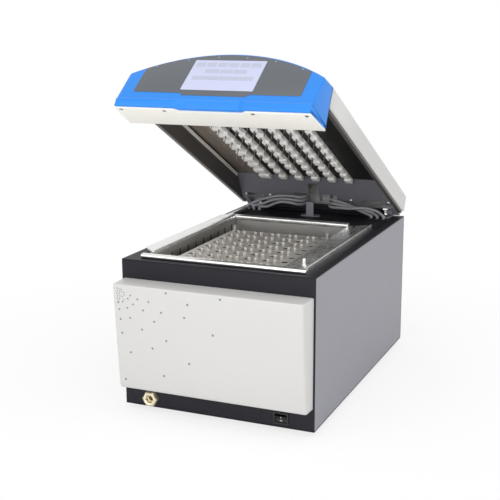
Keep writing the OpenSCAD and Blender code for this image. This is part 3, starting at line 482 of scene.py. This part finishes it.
def cover_rows():
    """Plan outline at each height z: depth d = cover_depth(z), half width 177 - 2.5 d / 44.5. The
    first and last heights roll over with r (1 - cos t) up and r (1 - sin t) in."""
    t = np.linspace(0, np.pi / 2, 5)
    up, back = COVER_ROLL * (1 - np.cos(t)), COVER_ROLL * (1 - np.sin(t))
    heights = np.concatenate([COVER_LOW + up, [COVER_BEND, 110, 170], (COVER_TOP - up)[::-1]])
    shrink = np.concatenate([back, [0, 0, 0], back[::-1]])
    rows = []
    for z, d, i in zip(heights, cover_depth(heights), shrink):
        half = COVER_HALF - COVER_DRAFT * d / COVER_OUT
        plan = inset(rounded([(-COVER_HALF, 0), (-half, -d), (half, -d), (COVER_HALF, 0)],
                             [0.5, COVER_CORNER, COVER_CORNER, 0.5]), i)
        # the edge that touches the cabinet stays on it
        plan[:, 1] = np.where(plan[:, 1] > -4, np.minimum(plan[:, 1] + i, 0), plan[:, 1])
        rows.append(np.column_stack([plan, np.full(len(plan), z)]))
    return rows


piece("front_shell", rings(cover_rows()), "white_plastic", "cabinet", ["front_cover"])

# %% [markdown]
# ## Printed dots
# A grey pattern of dots fades from the upper left corner of the cover: a dense
# patch of small ones, then larger ones on arcs that widen by two fifths each.

# %% Dots on the cover
DOTS_X, DOTS_TOP = -170.0, 231.0  # the corner that the pattern starts from
GRID_MM, PATCH_ACROSS, PATCH_DOWN = 4.4, 24.0, 37.0
ARC_START, ARC_GROWTH, ARCS, DOTS_EACH = 30.0, 1.42, 6, 5


def dot_places():
    """Rows (across, down, radius): a slanted grid thinned towards the patch's edge, then dots on arcs
    of radius 30 * 1.42^k. Dots past the cover's edge are left out."""
    rng = np.random.default_rng(11)
    i, j = np.meshgrid(np.arange(6), np.arange(8))
    grid = np.stack([4 + GRID_MM * i + 1.1 * (j % 2), 4 + GRID_MM * j + 0.8 * i,
                     np.full(i.shape, 1.15)], -1).reshape(-1, 3)
    near = np.hypot(grid[:, 0] / PATCH_ACROSS, grid[:, 1] / PATCH_DOWN)
    spots = [grid[(near < 1) & (rng.random(len(grid)) > near ** 3 * 0.7)]]
    for k in range(ARCS):
        radius = ARC_START * ARC_GROWTH ** k
        turn = np.linspace(0.1, np.pi / 2 - 0.1, DOTS_EACH) + rng.uniform(-0.08, 0.08, DOTS_EACH)
        spots.append(np.stack([radius * np.cos(turn) * 1.15, radius * np.sin(turn),
                               np.full(DOTS_EACH, 1.7 + 0.1 * k)], 1))
    spots = np.concatenate(spots)
    a, b = spots[:, 0], spots[:, 1]
    return spots[(a > 3) & (a < 320) & (b > 3) & (b < 178)]


def dots():
    """Flat discs 0.14 mm proud of the leaning face: y follows the face, and each disc leans with it."""
    a, b, size = dot_places().T
    x, z = a + DOTS_X, DOTS_TOP - b
    y = -cover_depth(z)
    lean = (COVER_OUT - COVER_FOOT) / (COVER_TOP - COVER_BEND)
    shapes = []
    for px, py, pz, r in zip(x, y, z, size):
        flat, faces = turned([(r * 0.6, -0.14), (r, -0.1), (r, 0.1)], "y", sides=12)
        shapes.append((flat + [px, py, pz] - np.outer(flat[:, 2], [0, lean, 0]), faces))
    return joined(*shapes)


piece("cover_dots", dots(), "print_grey", "cabinet")

# %% [markdown]
# ## The lid's skin
# Upright sides 38 mm high carry a shallow arch of about 340 mm radius, with a
# corner of 7 mm between. The skin is an open grid: along the lid it keeps one
# section, then rolls over at the back and closes down to the lower edge. The
# Solidify modifier gives it the wall.

# %% Lid skin
ARCH_R = (HALF ** 2 + (CROWN - SIDE) ** 2) / (2 * (CROWN - SIDE))
ARCH_W = CROWN - ARCH_R  # height of the arch's centre
LID_CORNER, LID_ROLL = 7.0, 6.0
LID_FRONT = 562.0  # where the lid's skin ends and the bezel begins
LID_WALL = 0.003


def arch(x, shrink=0.0):
    """Height of the crown at x: CROWN - R + sqrt((R - shrink)^2 - x^2)."""
    return ARCH_W + np.sqrt((ARCH_R - shrink) ** 2 - np.asarray(x, float) ** 2)


def lid_section(shrink, low):
    """Open line (x, w) from the right lower edge over the crown to the left: side, corner, arch.
    The corner's centre lies r inside both the side and the arch."""
    r, half = LID_CORNER, HALF - shrink
    outer = ARCH_R - shrink
    centre_x = half - r
    centre_w = ARCH_W + np.sqrt((outer - r) ** 2 - centre_x ** 2)
    top = np.arctan2(centre_x, centre_w - ARCH_W)
    t = np.linspace(0, np.pi / 2 - top, 7)
    corner = np.stack([centre_x + r * np.cos(t), centre_w + r * np.sin(t)], 1)
    a = np.linspace(top, 0, 24)[1:]
    crown = np.stack([outer * np.sin(a), ARCH_W + outer * np.cos(a)], 1)
    side = np.stack([np.full(4, half), np.linspace(low, centre_w, 5)[:-1]], 1)
    right_half = np.concatenate([side, corner, crown])
    return np.concatenate([right_half, right_half[-2::-1] * [-1, 1]])


def lid_rows():
    """Rows from the front edge back: straight run, a roll of 6 mm, then the back wall down to its
    lower edge, which rises over the last 14 mm."""
    t = np.linspace(0, np.pi / 2, 6)
    straight = [LID_FRONT, 400, 250, 120, 40, 22, 14]
    vs = np.concatenate([straight, LID_ROLL * (1 - np.sin(t))])
    shrinks = np.concatenate([np.zeros(len(straight)), LID_ROLL * (1 - np.cos(t))])
    lows = np.maximum(1, -1 + (18 - vs) * 10 / 19)
    rows = [np.insert(lid_section(shrink, low), 1, v, 1) for v, shrink, low in zip(vs, shrinks, lows)]
    last = rows[-1]
    for share in (0.35, 0.7, 1.0):
        wall = last.copy()
        wall[:, 2] = last[:, 2] * (1 - share) + lows[-1] * share
        rows.append(wall)
    rows[-1][:, 2] = lows[-1]
    return np.array(rows)


grid = lid_rows()
m, n = grid.shape[:2]
i, j = np.meshgrid(np.arange(m - 1), np.arange(n - 1), indexing="ij")
first = i * n + j
quads = np.stack([first, first + 1, first + n + 1, first + n], -1).reshape(-1, 4).tolist()
lid_skin = piece("lid_skin", (on_lid(grid).reshape(-1, 3), quads), "white_plastic", "lid",
                 ["lid_cover"])
wall = lid_skin.modifiers.new("wall", "SOLIDIFY")
wall.thickness = LID_WALL
wall.offset = -1.0
print("lid skin:", m, "rows of", n)

# %% [markdown]
# ## The display bezel
# Every section across the bezel is the same closed outline in (v, w) except
# for its top, which follows the arch, and its lower strip, which steps back
# for the finger scoop. The ends are rolled with a radius of 4 mm, where the
# blue plastic shows its long bright lines.

# %% Bezel
TILT = np.radians(62.4)  # the display face above the lid's lower edge plane
FACE_V, FACE_W = 625.0, -13.5  # foot of the display face
LIP_V, LIP_W = 631.0, -34.5  # front of the lower strip
SCOOP_DEPTH, SCOOP_HALF, SCOOP_RAMP = 4.0, 61.0, 8.0
BEZEL_TAPER, BEZEL_ROLL = 5.5, 4.0  # what its half width loses at the lip, and its end radius


def on_face(points):
    """Lid coordinates of (x, s up the face, n out of it): with the face's foot (a, b) and its tilt
    t, v = a - s cos t + n sin t and w = b + s sin t + n cos t."""
    x, s, n = np.moveaxis(np.asarray(points, float), -1, 0)
    c, d = np.cos(TILT), np.sin(TILT)
    return np.stack([x, FACE_V - s * c + n * d, FACE_W + s * d + n * c], -1)


def bezel_section(x):
    """Outline at x: from the back wall along the strip to the lip, up the display face to the arch,
    and back over the top."""
    top = float(arch(x))
    top_v = FACE_V - (top - FACE_W) / np.tan(TILT)
    scoop = SCOOP_DEPTH * np.clip((SCOOP_HALF - abs(x)) / SCOOP_RAMP, 0, 1)
    corners = [(LID_FRONT, LIP_W), (LIP_V - scoop, LIP_W), (629.9 - scoop * 0.92, -20.5),
               (626.6, -17.2), (FACE_V, FACE_W), (top_v, top), (LID_FRONT, top + 0.4)]
    return rounded(corners, [1.0, 1.2, 0.5, 0.5, 3.0, 4.5, 0.4], 4)


def bezel_rows():
    """Sections at x, closer together over the scoop's ramps. A point's x shrinks with its v by the
    taper, and the last sections shrink to roll the ends."""
    knots = np.unique(np.concatenate([np.linspace(0, 0.29, 6), np.linspace(0.29, 0.345, 5),
                                      np.linspace(0.345, 0.975, 16)]))
    t = np.linspace(0, np.pi / 2, 6)
    x_of = np.concatenate([knots * HALF, HALF - BEZEL_ROLL * (1 - np.sin(t))])
    shrink = np.concatenate([np.zeros(len(knots)), BEZEL_ROLL * (1 - np.cos(t))])
    rows = []
    for x, s in zip(x_of, shrink):
        ring = inset(bezel_section(x), s)
        ahead = (ring[:, 0] - LID_FRONT) / (LIP_V - LID_FRONT)
        rows.append(np.column_stack([x * (1 - ahead * BEZEL_TAPER / HALF), ring]))
    rows = np.array(rows)
    return np.concatenate([rows[:0:-1] * [-1, 1, 1], rows])


points, faces = rings(bezel_rows())
piece("bezel_shell", (on_lid(points), faces), "blue_plastic", "lid", ["bezel"], sharp=28)

# %% [markdown]
# ## Display, its film and its lamps
# The grey film has a top edge on a 300 mm arc and a tab that dips into the
# scoop. The pale screen carries plain boxes in place of a program's picture.

# %% Film, screen, lamps
FILM_HALF, FILM_SIDE, FILM_TOP, FILM_R = 150.0, 71.4, 113.0, 300.0
FILM_BASE, TAB_LOW, TAB_HALF = 10.5, 5.0, 58.0
SCREEN_HALF, SCREEN_LOW, SCREEN_HIGH = 65.0, 18.7, 97.7
LAMP_SPOTS = [(-133, 78.5), (-80, 97.5), (-26, 105.5), (26, 105.5), (80, 97.5), (133, 78.5)]


def film_outline():
    """Film edge (x, s): the arc 113 - 300 + sqrt(300^2 - x^2) over a straight base with its tab."""
    x = np.linspace(FILM_HALF - 1.4, 1.4 - FILM_HALF, 45)
    arc = np.stack([x, FILM_TOP - FILM_R + np.sqrt(FILM_R ** 2 - x ** 2)], 1)
    right = [(TAB_HALF, TAB_LOW), (SCOOP_HALF, FILM_BASE), (FILM_HALF, FILM_BASE),
             (FILM_HALF, FILM_SIDE)]
    left = [(-x, s) for x, s in right[::-1]]
    low = rounded(left + right, [0.4, 4, 1.5, 1.5, 1.5, 1.5, 4, 0.4])
    return np.concatenate([low, arc])


def lay(shape):
    """A shape in display coordinates moved to the cabinet frame of the open lid."""
    points, faces = shape
    return on_lid(on_face(points)), faces


film = slab(film_outline(), 0.02, 0.5, 0.25)
piece("display_film", lay(film), "overlay_film", "lid", ["display_overlay"])
glass = slab(oblong(-SCREEN_HALF, SCREEN_HALF, SCREEN_LOW, SCREEN_HIGH, 1.5), 0.5, 0.9, 0.2)
piece("display_glass", lay(glass), "screen_glass", "lid", ["touch_screen"])
dome = turned([(1.9, 0.3), (1.9, 0.6), (1.6, 0.95), (1.0, 1.15), (0.3, 1.25)], sides=20)
domes = copies(dome, [(x, s, 0) for x, s in LAMP_SPOTS])
piece("display_lamps", lay(domes), "led_lens", "lid", ["indicator_leds"])

# %% [markdown]
# ## What the screen shows
# Six boxes, three wider boxes and one bar, all flat and grey: the layout of a
# control page without a word on it.

# %% Screen boxes
def screen_boxes():
    """Plates 0.12 mm thick on the glass, given as (x0, x1, s0, s1)."""
    boxes = [(-60 + 20.2 * k, -43 + 20.2 * k, 80, 91) for k in range(6)]
    boxes += [(-38, -12, 63, 73), (-10, 12, 63, 73), (14, 38, 63, 73), (-55, 55, 45, 55)]
    return joined(*[slab(oblong(*box, 1.2, 3), 0.9, 1.02, 0.05, steps=1) for box in boxes])


piece("screen_boxes", lay(screen_boxes()), "screen_grey", "lid")

# %% [markdown]
# ## The bezel's underplate
# A cream plate closes the bezel from below and follows the scoop with a notch.

# %% Underplate
UNDER_LOW = LIP_W - 3.0
UNDER_FRONT = 628.0
right = [(55, 621), (64, UNDER_FRONT), (174, UNDER_FRONT), (178.6, 561)]
outline = rounded([(-x, v) for x, v in right[::-1]] + right, [1, 3, 2, 2, 2, 2, 3, 1])
under, faces = slab(outline, UNDER_LOW, LIP_W, 0.6)
piece("underplate_skin", (on_lid(under), faces), "cream_plastic", "lid", ["bezel_underplate"])

# %% [markdown]
# ## The rim of the bath
# Polished sheet folded over the edge of the bath. The front rail is a bright
# bar with a round nose. The left flange is a flat 30 mm band that mirrors the
# bright room, and it runs on, narrower, to the back of the deck. The right
# flange is broader, falls 4.4 mm towards the bath inside a raised outer edge,
# and mirrors the dark lid above it.

# %% Rim
RIM_TOP = HEIGHT + 8.0
BATH_LEFT, BATH_RIGHT = -138.0, 106.0
RIM_BACK = 408.0


def along_x(outline, x0, x1, edge):
    """Bar with outline (y, z) from x0 to x1."""
    return slab(np.asarray(outline), x0, x1, edge, lambda a, b, h: np.stack([h, a, b], -1))


def along_y(outline, y0, y1, edge):
    """Bar with outline (x, z) from y0 to y1."""
    return slab(np.asarray(outline), y0, y1, edge, lambda a, b, h: np.stack([a, h, b], -1))


rail = along_x(rounded([(13.5, HEIGHT), (25, HEIGHT), (25, RIM_TOP), (13.5, RIM_TOP)],
                       [3.9, 0.6, 1.2, 3.9]), -150, 157, 1.2)
left_plan = rounded([(BATH_LEFT, 38), (BATH_LEFT, RIM_BACK), (-150, 414), (-150, 512), (-157.5, 512),
                     (-157.5, 400), (-168, 388), (-168, 70)], [2, 1, 3, 2, 2, 4, 4, 8])
left_flange = slab(left_plan, HEIGHT, RIM_TOP, 1.5)
right_outline = rounded([(BATH_RIGHT, 267.8), (153, 267.8), (153, RIM_TOP), (150, RIM_TOP),
                         (148.6, 274.2), (BATH_RIGHT, 269.8)], [0.4, 0.4, 1.0, 0.8, 0.6, 0.6])
right_flange = along_y(right_outline, 29, RIM_BACK, 0.5)
rear_outline = rounded([(395, 267), (RIM_BACK, 267), (RIM_BACK, RIM_TOP), (395, RIM_TOP)],
                       [0.4, 0.4, 2.0, 3.5])
rear_flange = along_x(rear_outline, -139, 107, 0.4)
links = joined(brick(-139.5, BATH_LEFT, 23.5, 38.5, HEIGHT, 274.5, 0.3, 0.2),
               brick(BATH_RIGHT, 107.5, 23.5, 29.5, HEIGHT, 274.5, 0.3, 0.2))
folds = joined(rail, left_flange, right_flange, rear_flange, links)
piece("rim_folds", folds, "bright_steel", "cabinet", ["bath_rim"])
pin_rows = [(3.4, -1.5), (3.4, 1.2), (2.9, 1.6), (2.9, 8.4), (2.5, 10), (1.4, 11.2), (0.3, 11.5)]
pin = turned(pin_rows, at=(138, 58, 273))
piece("rim_pin", pin, "bright_steel", "cabinet", ["rim_stud"])

# %% [markdown]
# ## Painted shade in the slots, and a rear seal
# Thin dark plates inside the slots of the bath's left sheet are painted shade for the unlit gap behind
# them, and a rubber strip on the rear rail closes the line under the lid's back edge.

# %% Painted slot shade and rear seal
SLOT_WIDTH, SLOT_LOW, SLOT_HIGH = 4.5, 236.0, 260.0
slot_y = 104 + ROW_PITCH * np.arange(-1, 9)
# painted shade: a dark plate just inside each slot stands for the unlit gap behind it
slot_shade = joined(*[brick(BATH_LEFT, BATH_LEFT + 1.6, y, y + SLOT_WIDTH, SLOT_LOW, SLOT_HIGH, 0.2, 0.1)
                for y in slot_y])
piece("slot_painted_shade", slot_shade, "dark_plate", "cabinet")
seal = brick(-138, 138, 535, 541, 279.5, 284, 1.0, 1.0)
piece("rail_seal", seal, "black_rubber", "cabinet")

# %% [markdown]
# ## Guide pins of the rack
# Eight rows of five pairs stand between the tube places. Each pin is a round
# bar with a domed end and a small chamfer where it meets the plate.

# %% Guide pins
RACK_TOP = 260.0
PIN_RADIUS, PIN_HEIGHT, PIN_SIDE = 3.4, 8.5, 6.0  # PIN_SIDE is half the distance of a pair


def pin_profile(radius, height):
    """Rows (radius, height): base chamfer, straight shank, then a quarter circle to the top."""
    t = np.linspace(0, np.pi / 2, 6)[:-1]
    dome = np.stack([radius * np.cos(t), height - radius + radius * np.sin(t)], 1)
    return np.concatenate([[(radius - 0.4, 0), (radius, 0.4)], dome, [(0.25, height - 0.01)]])


pairs = [(-80 + COLUMN_PITCH * c + side, 62.75 + ROW_PITCH * r, RACK_TOP)
         for r in range(8) for c in range(5) for side in (-PIN_SIDE, PIN_SIDE)]
guide = turned(pin_profile(PIN_RADIUS, PIN_HEIGHT), sides=20)
piece("guide_pins", copies(guide, pairs), "pin_steel", "cabinet", ["rack_prongs"])

# %% [markdown]
# ## Gas bars and needles
# Six white bars hang from the dark ceiling of the lid. Each has thirteen
# blocks, nine of them over the rack's rows with a needle below. The notches
# between the blocks give the toothed look, and the first bar's blocks reach
# further left. Cream strips and a brown sheet line the ceiling's sides.

# %% Bars, blocks and needles
COLUMNS = -98 + COLUMN_PITCH * np.arange(6)
BLOCK_V = 556 - (46 + ROW_PITCH * np.arange(13))
NEEDLE_ROWS = 9
BLOCK_LONG = 8.5  # half the length of a block


def lid_shape(shape):
    """A shape in lid coordinates (x, v, w) moved to the cabinet frame."""
    points, faces = shape
    return on_lid(points), faces


def block(left):
    """One block of a gas bar, from left to 7.5 mm right of its column."""
    return brick(left, 7.5, -BLOCK_LONG, BLOCK_LONG, 27, 36, 0.7, 0.5)


beams = copies(brick(-1, 6, 101, 540, 30, 38, 1.0, 0.8), [(x, 0, 0) for x in COLUMNS])
wide_blocks = copies(block(-16), [(COLUMNS[0], v, 0) for v in BLOCK_V])
blocks = copies(block(-7), [(x, v, 0) for x in COLUMNS[1:] for v in BLOCK_V])
bars = joined(beams, wide_blocks, blocks)
piece("gas_bars", lid_shape(bars), "white_polymer", "lid", ["nozzle_bars"])
trims = joined(*[brick(x, x + 3.5, 100, 558, 29, 35, 0.6, 0.5) for x in (-172, 168.5)])
piece("ceiling_trims", lid_shape(trims), "cream_plastic", "lid", ["edge_strips"])
left_sheet = brick(-168, -114, 100, 559, 37.6, 38, 0.5, 0.1)
piece("ceiling_sheets", lid_shape(left_sheet), "brown_plate", "lid")
needle_rows = [(0.5, 5), (0.8, 5.4), (0.8, 22), (1.3, 22.4), (1.9, 26.4), (1.9, 28.5)]
needle_at = [(x, v, 0) for x in COLUMNS for v in BLOCK_V[:NEEDLE_ROWS]]
needles = copies(turned(needle_rows, sides=16), needle_at)
piece("gas_needles", lid_shape(needles), "bare_steel", "lid", ["nozzle_tips"])

# %% [markdown]
# ## The drain fitting
# A brass nut, hexagonal outside, with a round lip and a hexagonal socket. The
# hexagon's radius at angle a is h / cos(a mod 60 degrees - 30 degrees), with h
# half of its width, so one grid of rings runs from the nut over the lip and
# down the socket.

# %% Drain fitting
DRAIN_X, DRAIN_Z = -127.5, 17.0
DRAIN_ROWS = [(10, -13, 0), (10, 0, 0), (12.4, 0, 1), (12.4, 8.6, 1), (12.2, 9.6, 0), (11.6, 10.4, 0),
              (10.6, 10.9, 0), (9.4, 10.9, 0), (8.0, 10.4, 0), (7.2, 9.6, 0), (6.6, 9.0, 1),
              (6.6, 2, 1), (5.3, 2, 0), (5.0, 1.6, 0), (5.0, -13, 0)]


def drain_ring(radius, out, is_hexagon):
    """Ring about the Y axis at a distance out of the cabinet's face."""
    a = np.linspace(0, 2 * np.pi, 72, endpoint=False)
    r = radius * np.where(is_hexagon, 1 / np.cos((a % (np.pi / 3)) - np.pi / 6), 1)
    return np.stack([r * np.cos(a), np.full(len(a), -out), r * np.sin(a)], 1)


drain_rows = np.array([drain_ring(*row) for row in DRAIN_ROWS + DRAIN_ROWS[:1]])
drain = rings(drain_rows + [DRAIN_X, 0, DRAIN_Z], capped=False)
piece("drain_collar", drain, "brass", "cabinet", ["drain_fitting"])

# %% [markdown]
# ## Gas hoses
# Clear hoses rise from two grommets, cross the deck in a low arch and end in
# the lid. A smooth curve goes through a few chosen points; a tube of rings
# follows it.

# %% Hoses
HOSE_RADIUS = 3.0


def smooth(points, steps):
    """Curve through the points. Between b and c, with a before and d after, it is
    0.5 (2b + (c - a) t + (2a - 5b + 4c - d) t^2 + (3b - a - 3c + d) t^3)."""
    p = np.concatenate([points[:1], points, points[-1:]])
    t = np.linspace(0, 1, steps, endpoint=False)[:, None]
    run = [0.5 * (2 * b + (c - a) * t + (2 * a - 5 * b + 4 * c - d) * t ** 2
                  + (3 * b - a - 3 * c + d) * t ** 3)
           for a, b, c, d in zip(p, p[1:], p[2:], p[3:])]
    return np.concatenate([*run, points[-1:]])


def tube(path, radius, sides=14):
    """Rings round a path: a side direction is carried along and kept square to it."""
    ahead = np.gradient(path, axis=0)
    ahead /= np.linalg.norm(ahead, axis=1)[:, None]
    side = np.array([0.0, 1.0, 0.15])
    a = np.linspace(0, 2 * np.pi, sides, endpoint=False)
    rows = []
    for p, d in zip(path, ahead):
        side = side - d * (side @ d)
        side /= np.linalg.norm(side)
        rows.append(p + radius * (np.cos(a)[:, None] * side + np.sin(a)[:, None] * np.cross(d, side)))
    return rings(rows)


def left_route(k):
    """Points of hose k of the left bundle, in the cabinet's frame."""
    x = -138 + (k - 1) * 13
    return np.array([(x, 498, 262), (x, 498, 270.5), (x, 498, 279 - k * 1.5),
                     (-127 + k * 12, 499 - k * 4, 290 - k * 5),
                     (-104 + k * 9, 499 - k * 5, 298 - k * 5),
                     (-80 + k * 6, 498 - k * 6, 303 - k * 5),
                     (-56 + k * 3, 498 - k * 6, 304.5 - k * 6),
                     (-34, 500 - k * 4, 303 - k * 7), (-24, 509 - k * 2, 304 - k * 7.5),
                     (-22, 526, 309 - k * 8)], float)


def right_route(k):
    """Points of hose k of the right bundle."""
    x = 138 + (k - 1) * 13
    return np.array([(x, 498, 262), (x, 498, 270), (x, 498, 274.5),
                     (125 + (k - 1) * 12, 499 - k * 4, 279 + k * 4),
                     (104 + (k - 1) * 9, 498 - k * 6, 286 + k * 3),
                     (82 + (k - 1) * 4, 497 - k * 7.5, 294 - k * 2),
                     (60 + (k - 1) * 2, 498 - k * 6, 299 - k * 5),
                     (42, 500 - k * 4, 302 - k * 7), (32, 509 - k * 2, 303 - k * 7.5),
                     (30, 526, 308 - k * 8)], float)


def bundle(route):
    """The three hoses of a side as one mesh."""
    return joined(*[tube(smooth(route(k), 8), HOSE_RADIUS) for k in range(3)])


for side, route in (("left", left_route), ("right", right_route)):
    hoses = piece("gas_hoses_" + side, bundle(route), "clear_hose", "cabinet", ["hoses_" + side], 60)
    hoses.parent = None
    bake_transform(hoses)

# %% [markdown]
# ## Feet and exhaust collar
# Small turned pieces: rubber feet with a round lower rim, and the exhaust
# collar with a rolled lip. The collar's profile comes back to its start, so it
# needs no caps.

# %% Feet and exhaust
FOOT_ROWS = [(7.5, 0.0), (12.2, 0.0), (13.0, 0.8), (15.0, 8.4), (15.0, FOOT), (7.5, FOOT)]
COLLAR_ROWS = [(34, 0), (34, 1.9), (33.4, 2.5), (25.8, 2.5), (25, 3.3), (25, 16.6), (24.6, 17.6),
               (24, EXHAUST_OUT), (23.4, 17.6), (23, 16.6), (23, -8), (25, -8), (25, 0), (34, 0)]
EXHAUST_AT = (110, DEPTH, 200)

foot_at = [(x, y, -FOOT) for x in (-146, 146) for y in (42, 513)]
piece("foot_pads", copies(turned(FOOT_ROWS), foot_at), "black_rubber", "cabinet", ["feet"])
points, faces = turned(COLLAR_ROWS, "y", EXHAUST_AT, sides=64)
collar = points, [face for face in faces if len(face) == 4]
piece("exhaust_collar", collar, "charcoal_paint", "cabinet", ["exhaust_port"])

# %% [markdown]
# ## Small marks on the switch
# A bar and a ring are moulded into the rocker, as on any mains switch.

# %% Switch marks
ROCKER_X, PIVOT_IN, ROCKER_Z = 120.0, 8.0, 17.0
ROCKER_TILT = np.radians(12)
MARK_LOW, MARK_HIGH = 8.0, 8.75


def on_rocker(points):
    """Cabinet points of (x, out, up) on the rocker, turned by its rest angle t about its pivot:
    y = pivot - out cos t - up sin t, z = middle - out sin t + up cos t."""
    x, out, up = np.moveaxis(np.asarray(points, float), -1, 0)
    c, s = np.cos(ROCKER_TILT), np.sin(ROCKER_TILT)
    return np.stack([ROCKER_X + x, PIVOT_IN - out * c - up * s, ROCKER_Z - out * s + up * c], -1)


bar, faces = slab(oblong(-0.4, 0.4, 1.6, 4.6, 0.2, 2), MARK_LOW, MARK_HIGH, 0.05, steps=1)
piece("switch_bar", (on_rocker(bar[:, [0, 2, 1]]), faces), "mark_white", "rocker")
RING_ROWS = [(1.1, MARK_LOW), (1.1, MARK_HIGH), (1.8, MARK_HIGH), (1.8, MARK_LOW), (1.1, MARK_LOW)]
ring, faces = turned(RING_ROWS, "y", (0, 0, -3.2), sides=28)
ring_faces = [face for face in faces if len(face) == 4]
piece("switch_ring", (on_rocker(ring), ring_faces), "mark_white", "rocker")

# %% [markdown]
# ## Stage
# A pale floor takes the shadow and brightens to plain white further out.

# %% Floor
FLOOR_HALF = 30.0
FADE_NEAR, FADE_FAR, SHADE_NEAR = 0.3, 0.95, 0.78  # metres, metres, share of plain white


def floor_sheet(size):
    """A square of the given half size at z = 0."""
    mesh = bpy.data.meshes.new("floor")
    corners = [(-size, -size, 0), (size, -size, 0), (size, size, 0), (-size, size, 0)]
    mesh.from_pydata(corners, [], [(0, 1, 2, 3)])
    made = bpy.data.objects.new("floor", mesh)
    bpy.context.scene.collection.objects.link(made)
    return made


floor = floor_sheet(FLOOR_HALF)
mat, tree, shader, place = blank("pale_floor")
shader.inputs["Base Color"].default_value = linear("fafafa")
shader.inputs["Roughness"].default_value = 0.9
seen = add(tree, "ShaderNodeLightPath")
glow = add(tree, "ShaderNodeEmission", {"Color": (1, 1, 1, 1), "Strength": 1.0})
away = add(tree, "ShaderNodeVectorMath", {0: place}, operation="LENGTH")
fade = add(tree, "ShaderNodeMapRange", {"Value": away.outputs["Value"], "From Min": FADE_NEAR,
                                        "From Max": FADE_FAR, "To Min": SHADE_NEAR, "To Max": 1.0})
share = add(tree, "ShaderNodeMath", {0: seen.outputs["Is Camera Ray"], 1: fade.outputs[0]},
            operation="MULTIPLY")
both = add(tree, "ShaderNodeMixShader", {0: share.outputs[0], 1: shader.outputs[0],
                                         2: glow.outputs[0]})
ending = next(n for n in tree.nodes if n.type == "OUTPUT_MATERIAL")
tree.links.new(both.outputs[0], ending.inputs["Surface"])
floor.data.materials.append(mat)
print("floor half size, metres:", FLOOR_HALF)

# %% [markdown]
# ## Light
# The camera sees plain white, mirrors see 0.95 of it, and the room that lights
# the object has two thirds of it, so that the lamps shape it.

# %% World and lamps
ROOM, MIRRORED = 0.65, 0.95  # strengths of the white room for soft light and in mirrors
world = bpy.data.worlds.new("white_room")
bpy.context.scene.world = world
world.use_nodes = True
tree = world.node_tree
tree.nodes.clear()
seen = add(tree, "ShaderNodeLightPath")
mirror = add(tree, "ShaderNodeMath", {0: seen.outputs["Is Glossy Ray"], 1: MIRRORED - ROOM},
             operation="MULTIPLY")
level = add(tree, "ShaderNodeMath", {0: mirror.outputs[0], 1: ROOM}, operation="ADD")
room = add(tree, "ShaderNodeBackground", {"Color": (1, 1, 1, 1), "Strength": level.outputs[0]})
white = add(tree, "ShaderNodeBackground", {"Color": (1, 1, 1, 1), "Strength": 1.0})
sky = add(tree, "ShaderNodeMixShader", {0: seen.outputs["Is Camera Ray"], 1: room.outputs[0],
                                        2: white.outputs[0]})
add(tree, "ShaderNodeOutputWorld", {"Surface": sky.outputs[0]})


# name, place and target in metres, side in metres, power in watts
LAMPS = [("key_left", (-1.3, -2.3, 1.7), (0, 0, 0.3), 1.8, 13),
         ("low_front", (0.3, -2.2, 0.4), (0, 0.1, 0.5), 1.2, 13),
         ("top", (0.3, -0.9, 2.6), (0, 0, 0.2), 2.0, 16),
         ("right", (2.4, 0.2, 1.2), (0.1, 0, 0.3), 1.6, 12)]


def lamp(name, place_at, target, size, power):
    """A square area lamp at place_at that faces target."""
    light = bpy.data.lights.new(name, "AREA")
    light.shape = "SQUARE"
    light.size = size
    light.energy = power
    made = bpy.data.objects.new(name, light)
    made.location = place_at
    away = mathutils.Vector(place_at) - mathutils.Vector(target)
    made.rotation_euler = away.to_track_quat("Z", "Y").to_euler()
    bpy.context.scene.collection.objects.link(made)


for row in LAMPS:
    lamp(*row)
print(len(LAMPS), "lamps, together", sum(row[-1] for row in LAMPS), "W")

# %% [markdown]
# ## Camera
# Its place, turn and lens were worked out together from the cabinet's edges.
# Back, right and up are the columns of its turn.

# %% Camera
AZIMUTH, ELEVATION, ROLL = np.radians([23.112, 13.159, -0.241])
EYE = [706.7, -1505.2, 687.2]  # in cabinet millimetres
FOCAL_PX, PICTURE_PX = 1018.585, 500
SENSOR_MM = 36.0

back = np.array([np.sin(AZIMUTH) * np.cos(ELEVATION), -np.cos(AZIMUTH) * np.cos(ELEVATION),
                 np.sin(ELEVATION)])
level_right = np.array([np.cos(AZIMUTH), np.sin(AZIMUTH), 0])
level_up = np.cross(back, level_right)
right = np.cos(ROLL) * level_right + np.sin(ROLL) * level_up
up = np.cos(ROLL) * level_up - np.sin(ROLL) * level_right
turn = np.eye(4)
turn[:3, :3] = np.stack([right, up, back], 1)
turn[:3, 3] = metres(EYE)

lens = bpy.data.cameras.new("photo_camera")
lens.sensor_width = SENSOR_MM
lens.lens = FOCAL_PX / PICTURE_PX * SENSOR_MM
camera = bpy.data.objects.new("photo_camera", lens)
camera.matrix_world = mathutils.Matrix(turn.tolist())
bpy.context.scene.collection.objects.link(camera)
bpy.context.scene.camera = camera
bpy.context.scene.view_settings.view_transform = "Standard"
print("focal length, mm:", round(lens.lens, 2))
